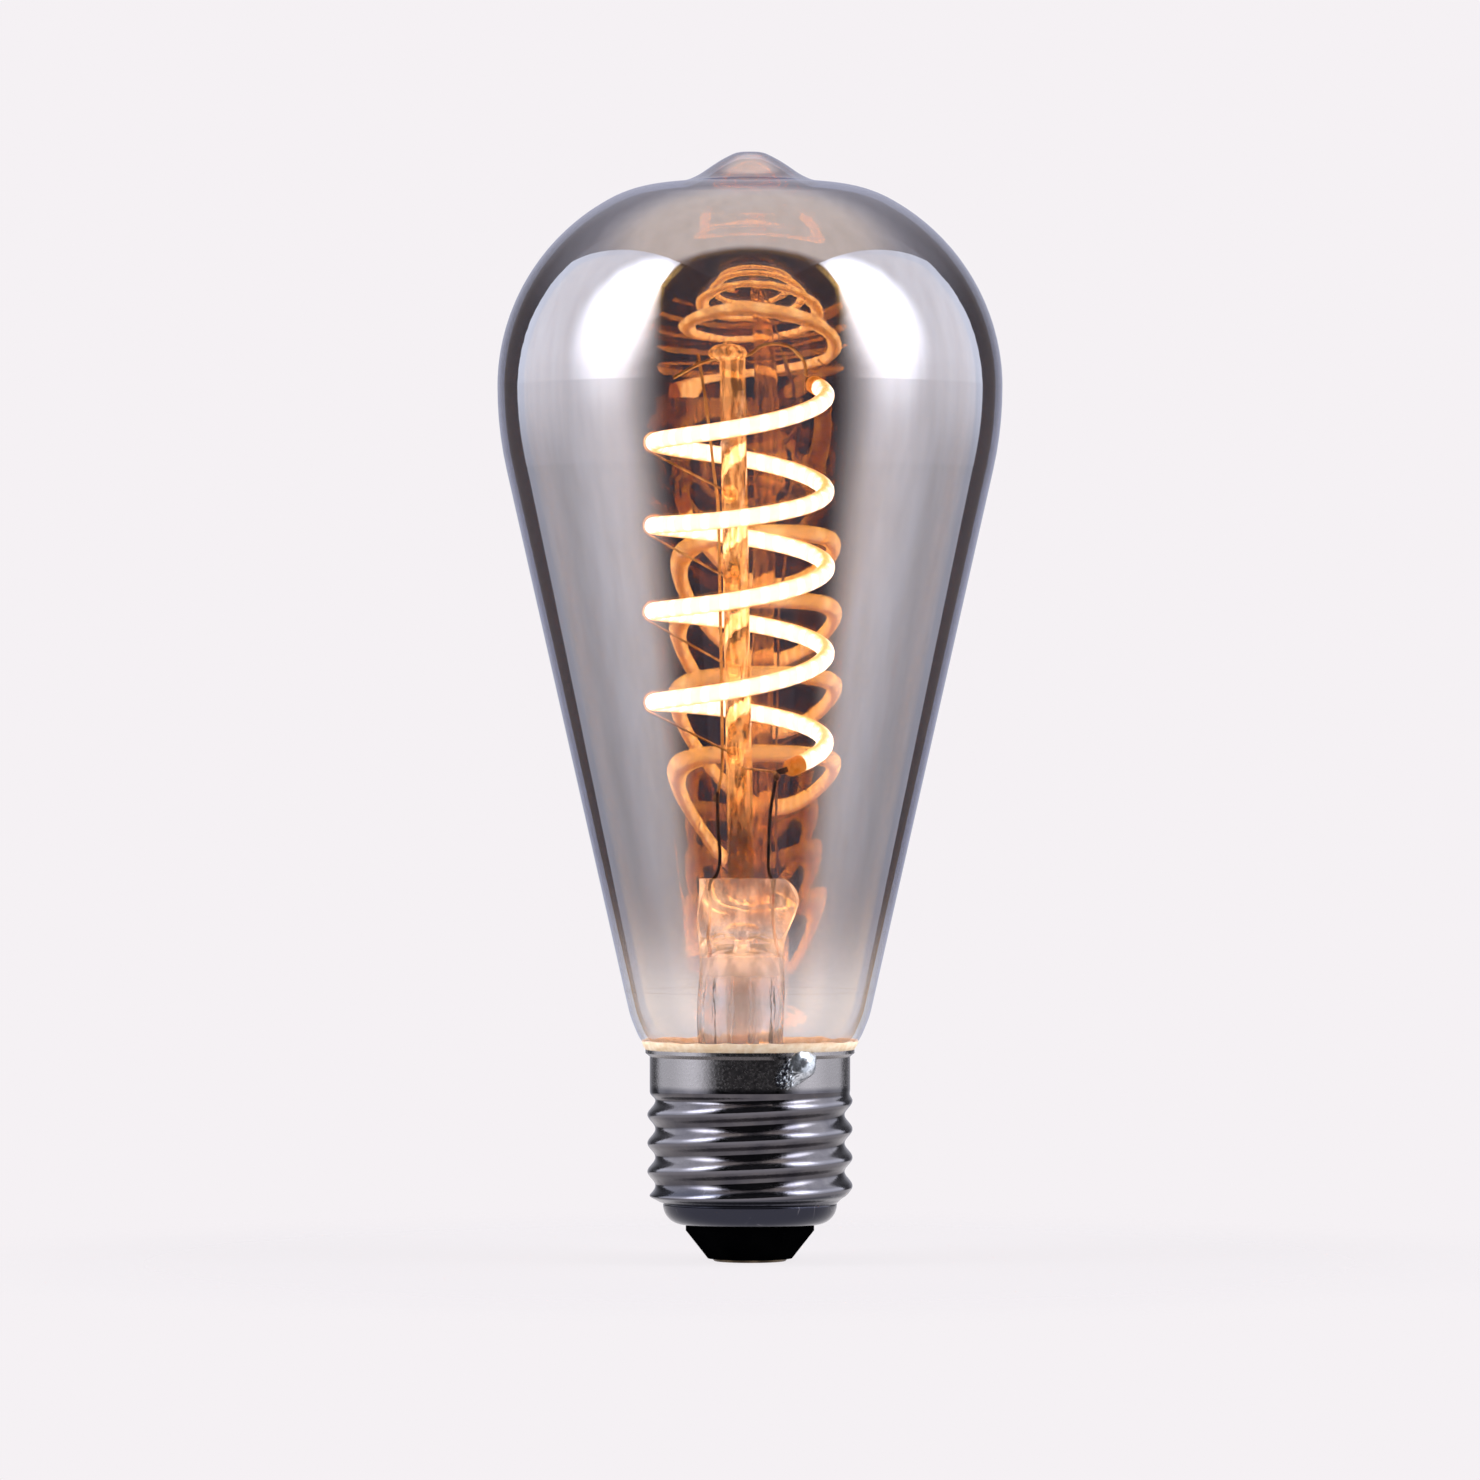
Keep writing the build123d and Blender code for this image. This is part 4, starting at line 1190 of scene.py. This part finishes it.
def shown_rays(tree: NodeTree) -> Node:
    """Tells rays that show a picture from rays that carry light.

    Args:
        tree: Node tree of a material or the world.

    Returns:
        One for rays from the camera, a mirror or glass, and zero for the rest.
    """
    path = add(tree, "LightPath")
    first = add(tree, "Math", {0: path.outputs["Is Camera Ray"], 1: path.outputs["Is Glossy Ray"]},
                operation="MAXIMUM")
    return add(tree, "Math", {0: first, 1: path.outputs["Is Transmission Ray"]}, operation="MAXIMUM")


@dataclass(frozen=True)
class PaleFloor(Finish):
    """A matt pale board that keeps a shadow near the bulb and melts into the background further out.

    Args:
        pale: Colour of the background.
        board: Colour of the board under the lamps.
        shown: Share of the plain background colour that the camera and mirrors see.
        fade: Radii where the board starts to fade and where it is gone.
    """

    pale: str = "#f5f1f4"
    board: str = "#b4b1b3"
    shown: float = 0.9
    fade: Pair = (0.06, 0.125)

    def surface(self, tree: NodeTree, place: NodeSocket) -> Node:
        """Matt board and plain background colour, faded by distance from the bulb.

        Args:
            tree: The material's node tree.
            place: Object coordinates.

        Returns:
            The shader.
        """
        far = add(tree, "VectorMath", {0: place}, operation="LENGTH")
        gone = add(tree, "MapRange", {0: far, 1: self.fade[0], 2: self.fade[1]}, **SMOOTHER)
        share = add(tree, "Math", {0: shown_rays(tree), 1: self.shown}, operation="MULTIPLY")
        matt = add(tree, "BsdfDiffuse", {"Color": linear(self.board)})
        plain = add(tree, "Emission", {"Color": linear(self.pale)})
        board = add(tree, "MixShader", {0: share, 1: matt, 2: plain})
        return add(tree, "MixShader", {0: gone, 1: board, 2: add(tree, "BsdfTransparent")})


@dataclass(frozen=True)
class HotSpot:
    """A lamp's hot core, as it shows through the cloth in front of it.

    Args:
        at: Its middle, along the cloth and over the floor.
        reach: How far it spreads along the cloth and up.
        strength: Strength that it adds at its middle.
    """

    at: Pair
    reach: Pair
    strength: float

    def glow(self, tree: NodeTree, place: NodeSocket) -> Node:
        """Fades the core from its middle to its rim.

        Args:
            tree: The cloth's node tree.
            place: Object coordinates on the cloth.

        Returns:
            The strength that the core adds.
        """
        from_core = add(tree, "VectorMath", {0: place, 1: (*self.at, 0.0)}, operation="SUBTRACT")
        scaled = add(tree, "VectorMath", {0: from_core, 1: (*self.reach, 1.0)}, operation="DIVIDE")
        far = add(tree, "VectorMath", {0: scaled}, operation="LENGTH")
        return add(tree, "MapRange", {0: far, 3: self.strength, 4: 0.0}, **SMOOTHER)


@dataclass(frozen=True)
class PanelGlow(Finish):
    """The cloth of a soft light panel, with its lamps' hot cores behind it.

    Args:
        colour: Colour of the light.
        level: Strength of the lower and of the upper cloth.
        rise: Heights over the floor where it starts to brighten and where it is at full strength.
        cores: The hot cores.
        soft: Where the light starts and where it is full, from the front edge, low down.
        crisp: The same high up, where the cloth is stretched over the frame.
        crisp_heights: Heights between which the edge turns from soft to crisp.
    """

    colour: str = "#f2f5ff"
    level: Pair = (0.9, 2.3)
    rise: Pair = (-0.15, 0.25)
    cores: tuple[HotSpot, ...] = (HotSpot((0.36, 0.5), (0.28, 0.54), 10.0),
                                  HotSpot((0.38, -0.03), (0.34, 0.17), 0.6),
                                  HotSpot((0.45, -0.38), (0.4, 0.13), 1.5))
    soft: Pair = (0.1, 0.32)
    crisp: Pair = (0.25, 0.275)
    crisp_heights: Pair = (0.25, 0.6)

    def surface(self, tree: NodeTree, place: NodeSocket) -> Node:
        """An even cloth that fades at its front edge, with its hot cores.

        Args:
            tree: The material's node tree.
            place: Object coordinates.

        Returns:
            The shader.
        """
        axes = add(tree, "SeparateXYZ", {0: place})
        low, high = self.crisp_heights
        start, stop = [add(tree, "MapRange", {0: axes.outputs[1], 1: low, 2: high, 3: soft, 4: crisp})
                       for soft, crisp in zip(self.soft, self.crisp)]
        edge = add(tree, "MapRange", {0: axes.outputs[0], 1: start, 2: stop}, **SMOOTH)
        light = add(tree, "MapRange", {0: axes.outputs[1], 1: self.rise[0], 2: self.rise[1],
                                       3: self.level[0], 4: self.level[1]}, **SMOOTH)
        for core in self.cores:
            light = add(tree, "Math", {0: light, 1: core.glow(tree, place)}, operation="ADD")
        strength = add(tree, "Math", {0: light, 1: edge}, operation="MULTIPLY")
        return add(tree, "Emission", {"Color": linear(self.colour), "Strength": strength})


@dataclass(frozen=True)
class DarkCards(Finish):
    """Dark cards round the set, with soft edges, and the cloth overhead. Only mirrors see them.

    Angles are in degrees: round the bulb they count from the camera, and upwards from the floor.

    Args:
        front: Angles where the front card starts to end and has ended.
        rear: Angles where the rear cards start and are full.
        rear_fade: Angles between which the rear cards turn from dark to grey.
        rear_rise: Heights between which they do the same.
        front_grey: Strength of the front card.
        grey: Strength of the grey above the panels.
        rear_dark: Strength of the rear cards beside the panels.
        rear_grey: Strength of the rear cards straight behind and higher up.
        overhead: Strength of the cloth overhead.
        overhead_rise: Heights where that cloth starts and where it is at full strength.
        overhead_front: How far forward it reaches, as a share of the way to the camera.
        card_colour: Colour of the cards.
        cloth_colour: Colour of the cloth overhead.
    """

    front: Pair = (47.0, 63.0)
    rear: Pair = (129.0, 133.0)
    rear_fade: Pair = (143.0, 175.0)
    rear_rise: Pair = (15.0, 50.0)
    front_grey: float = 0.04
    grey: float = 0.8
    rear_dark: float = 0.12
    rear_grey: float = 0.75
    overhead: float = 1.65
    overhead_rise: Pair = (38.0, 60.0)
    overhead_front: Pair = (-0.28, -0.2)
    card_colour: str = "#e8e8f4"
    cloth_colour: str = "#fff4ec"

    def surface(self, tree: NodeTree, place: NodeSocket) -> Node:
        """Cards by their angle round the bulb and above the floor.

        Args:
            tree: The material's node tree.
            place: Object coordinates.

        Returns:
            The shader.
        """
        axes = add(tree, "SeparateXYZ", {0: add(tree, "VectorMath", {0: place}, operation="NORMALIZE")})
        across = add(tree, "Math", {0: axes.outputs[0]}, operation="ABSOLUTE")
        to_camera = add(tree, "Math", {0: axes.outputs[1], 1: -1.0}, operation="MULTIPLY")
        turn = add(tree, "Math", {0: across, 1: to_camera}, operation="ARCTAN2")
        rise = add(tree, "Math", {0: axes.outputs[2]}, operation="ARCSINE")
        front, rear, fade, lift, over = [[math.radians(angle) for angle in span] for span in (
            self.front, self.rear, self.rear_fade, self.rear_rise, self.overhead_rise)]
        past_front = add(tree, "MapRange", {0: turn, 1: front[0], 2: front[1], 3: self.front_grey,
                                            4: self.grey}, **SMOOTH)
        at_rear = add(tree, "MapRange", {0: turn, 1: rear[0], 2: rear[1]}, **SMOOTH)
        behind = add(tree, "MapRange", {0: turn, 1: fade[0], 2: fade[1], 3: self.rear_dark,
                                        4: self.rear_grey}, **SMOOTH)
        lifted = add(tree, "MapRange", {0: rise, 1: lift[0], 2: lift[1], 3: behind,
                                        4: self.rear_grey}, **SMOOTH)
        round_about = add(tree, "MapRange", {0: at_rear, 3: past_front, 4: lifted})
        high = add(tree, "MapRange", {0: rise, 1: over[0], 2: over[1]}, **SMOOTH)
        reach, full = self.overhead_front
        covered = add(tree, "MapRange", {0: axes.outputs[1], 1: reach, 2: full}, **SMOOTH)
        cloth = add(tree, "Math", {0: high, 1: covered}, operation="MULTIPLY")
        level = add(tree, "MapRange", {0: cloth, 3: round_about, 4: self.overhead})
        colour = add(tree, "Mix", {0: cloth, 6: linear(self.card_colour),
                                   7: linear(self.cloth_colour)}, **COLOURS)
        return add(tree, "Emission", {"Color": colour, "Strength": level})


@dataclass
class Studio:
    """The floor, the lights, the dark cards, the background and the camera.

    Args:
        floor_radius: Radius of the floor board.
        panel_front: Front corner of the left panel, across and along, seen from above.
        panel_back: Back corner of the left panel.
        panel_bottom: Lower edge of both panels.
        panel_top: Upper edge of both panels.
        tent_radius: Distance of the dark cards.
        middle: Height of the bulb's middle.
        camera_at: Where the camera is.
        lens: Focal length of the camera, in its own millimetres.
        ambient: Strength of the even light all round.
    """

    floor_radius: float = 0.14
    panel_front: Pair = (-0.252, -0.494)
    panel_back: Pair = (-0.89, 0.774)
    panel_bottom: float = -0.6
    panel_top: float = 0.9
    tent_radius: float = 1.6
    middle: float = 0.09
    camera_at: tuple[float, float, float] = (-0.00127, -1.05, 0.0665)
    lens: float = 200.0
    ambient: float = 0.5
    # Woven white cloth over lamps: an even glow with hot cores.
    cloth: PanelGlow = PanelGlow("light_panel_cloth")
    # Painted board: matt and pale, so that it only shows the bulb's soft shadow.
    floor: PaleFloor = PaleFloor("matt_pale_board")
    # Black and grey card: it gives the glass and the plate their dark edges.
    cards: DarkCards = DarkCards("dark_cards")

    def stage_piece(self, name: str, shape: BMesh, finish: Finish) -> Object:
        """Turns a mesh into an object for the stage.

        Args:
            name: The object's name.
            shape: Its shape, which is freed.
            finish: Its finish.

        Returns:
            The new object.
        """
        made = new_object(name, shape, finish)
        return made

    def build_floor(self) -> None:
        """Lays the floor board under the contact."""
        shape = bmesh.new()
        bmesh.ops.create_circle(shape, cap_ends=True, radius=self.floor_radius, segments=96)
        self.stage_piece("floor_board", shape, self.floor)

    def build_panel(self, side: Side) -> None:
        """Stands a light panel on one side of the bulb.

        Args:
            side: Which side.
        """
        front = Vector((*self.panel_front, 0.0))
        along = Vector((*self.panel_back, 0.0)) - front
        height = self.panel_top - self.panel_bottom
        shape = bmesh.new()
        bmesh.ops.create_grid(shape, x_segments=1, y_segments=1, size=0.5)
        bmesh.ops.translate(shape, verts=shape.verts, vec=(0.5, 0.5, 0.0))
        bmesh.ops.scale(shape, verts=shape.verts, vec=(along.length, height, 1.0))
        bmesh.ops.translate(shape, verts=shape.verts, vec=(0.0, self.panel_bottom, 0.0))
        panel = self.stage_piece(f"light_panel_{side.name.lower()}", shape, self.cloth)
        way = along.normalized()
        turned = Matrix((way, (0.0, 0.0, 1.0), way.cross((0.0, 0.0, 1.0)))).transposed().to_4x4()
        mirrored = Matrix.Diagonal((-side.value, 1.0, 1.0, 1.0))
        panel.matrix_world = mirrored @ Matrix.Translation(front) @ turned
        panel.visible_camera = False
        panel.visible_shadow = False

    def build_cards(self) -> None:
        """Hangs the dark cards, which only mirrors see."""
        shape = bmesh.new()
        bmesh.ops.create_uvsphere(shape, u_segments=48, v_segments=24, radius=self.tent_radius)
        cards = self.stage_piece("dark_cards", shape, self.cards)
        cards.location = (0.0, 0.0, self.middle)
        cards.visible_camera = False
        cards.visible_diffuse = False
        cards.visible_transmission = False
        cards.visible_shadow = False

    def build_world(self) -> None:
        """Makes the pale background and the even light."""
        world = bpy.data.worlds.new("pale_room")
        world.use_nodes = True
        tree = world.node_tree
        tree.nodes.clear()
        even = add(tree, "Background", {"Color": linear("#ffffff"), "Strength": self.ambient})
        pale = add(tree, "Background", {"Color": linear(self.floor.pale), "Strength": 1.0})
        both = add(tree, "MixShader", {0: shown_rays(tree), 1: even, 2: pale})
        add(tree, "OutputWorld", {"Surface": both})
        bpy.context.scene.world = world

    def build_camera(self) -> None:
        """Sets the camera level, straight in front of the bulb."""
        data = bpy.data.cameras.new("camera")
        data.lens = self.lens
        data.clip_end = 10.0
        camera = bpy.data.objects.new("camera", data)
        camera.location = self.camera_at
        camera.rotation_euler = (math.pi / 2, 0.0, 0.0)
        bpy.context.scene.collection.objects.link(camera)
        bpy.context.scene.camera = camera

    def build(self) -> None:
        """Builds the whole stage and sets how far light is followed."""
        self.build_floor()
        for side in Side:
            self.build_panel(side)
        self.build_cards()
        self.build_world()
        self.build_camera()
        scene = bpy.context.scene
        scene.view_settings.view_transform = "Standard"
        scene.cycles.max_bounces = 16
        scene.cycles.transmission_bounces = 14
        scene.cycles.glossy_bounces = 6
        scene.cycles.transparent_max_bounces = 40


def main() -> None:
    """Builds the stage, then each sub-assembly in order, and reports each piece."""
    logging.basicConfig(level=logging.INFO, format="%(name)s: %(message)s")
    Studio().build()
    for part in (Envelope(), Filament(), Stem(), ScrewCap(), Driver()):
        for piece in part.build():
            log.info("%s: built %s", part.title, piece.name)
        part.dress()
        log.info("%s: dressed", part.title)


if __name__ == "__main__":
    main()
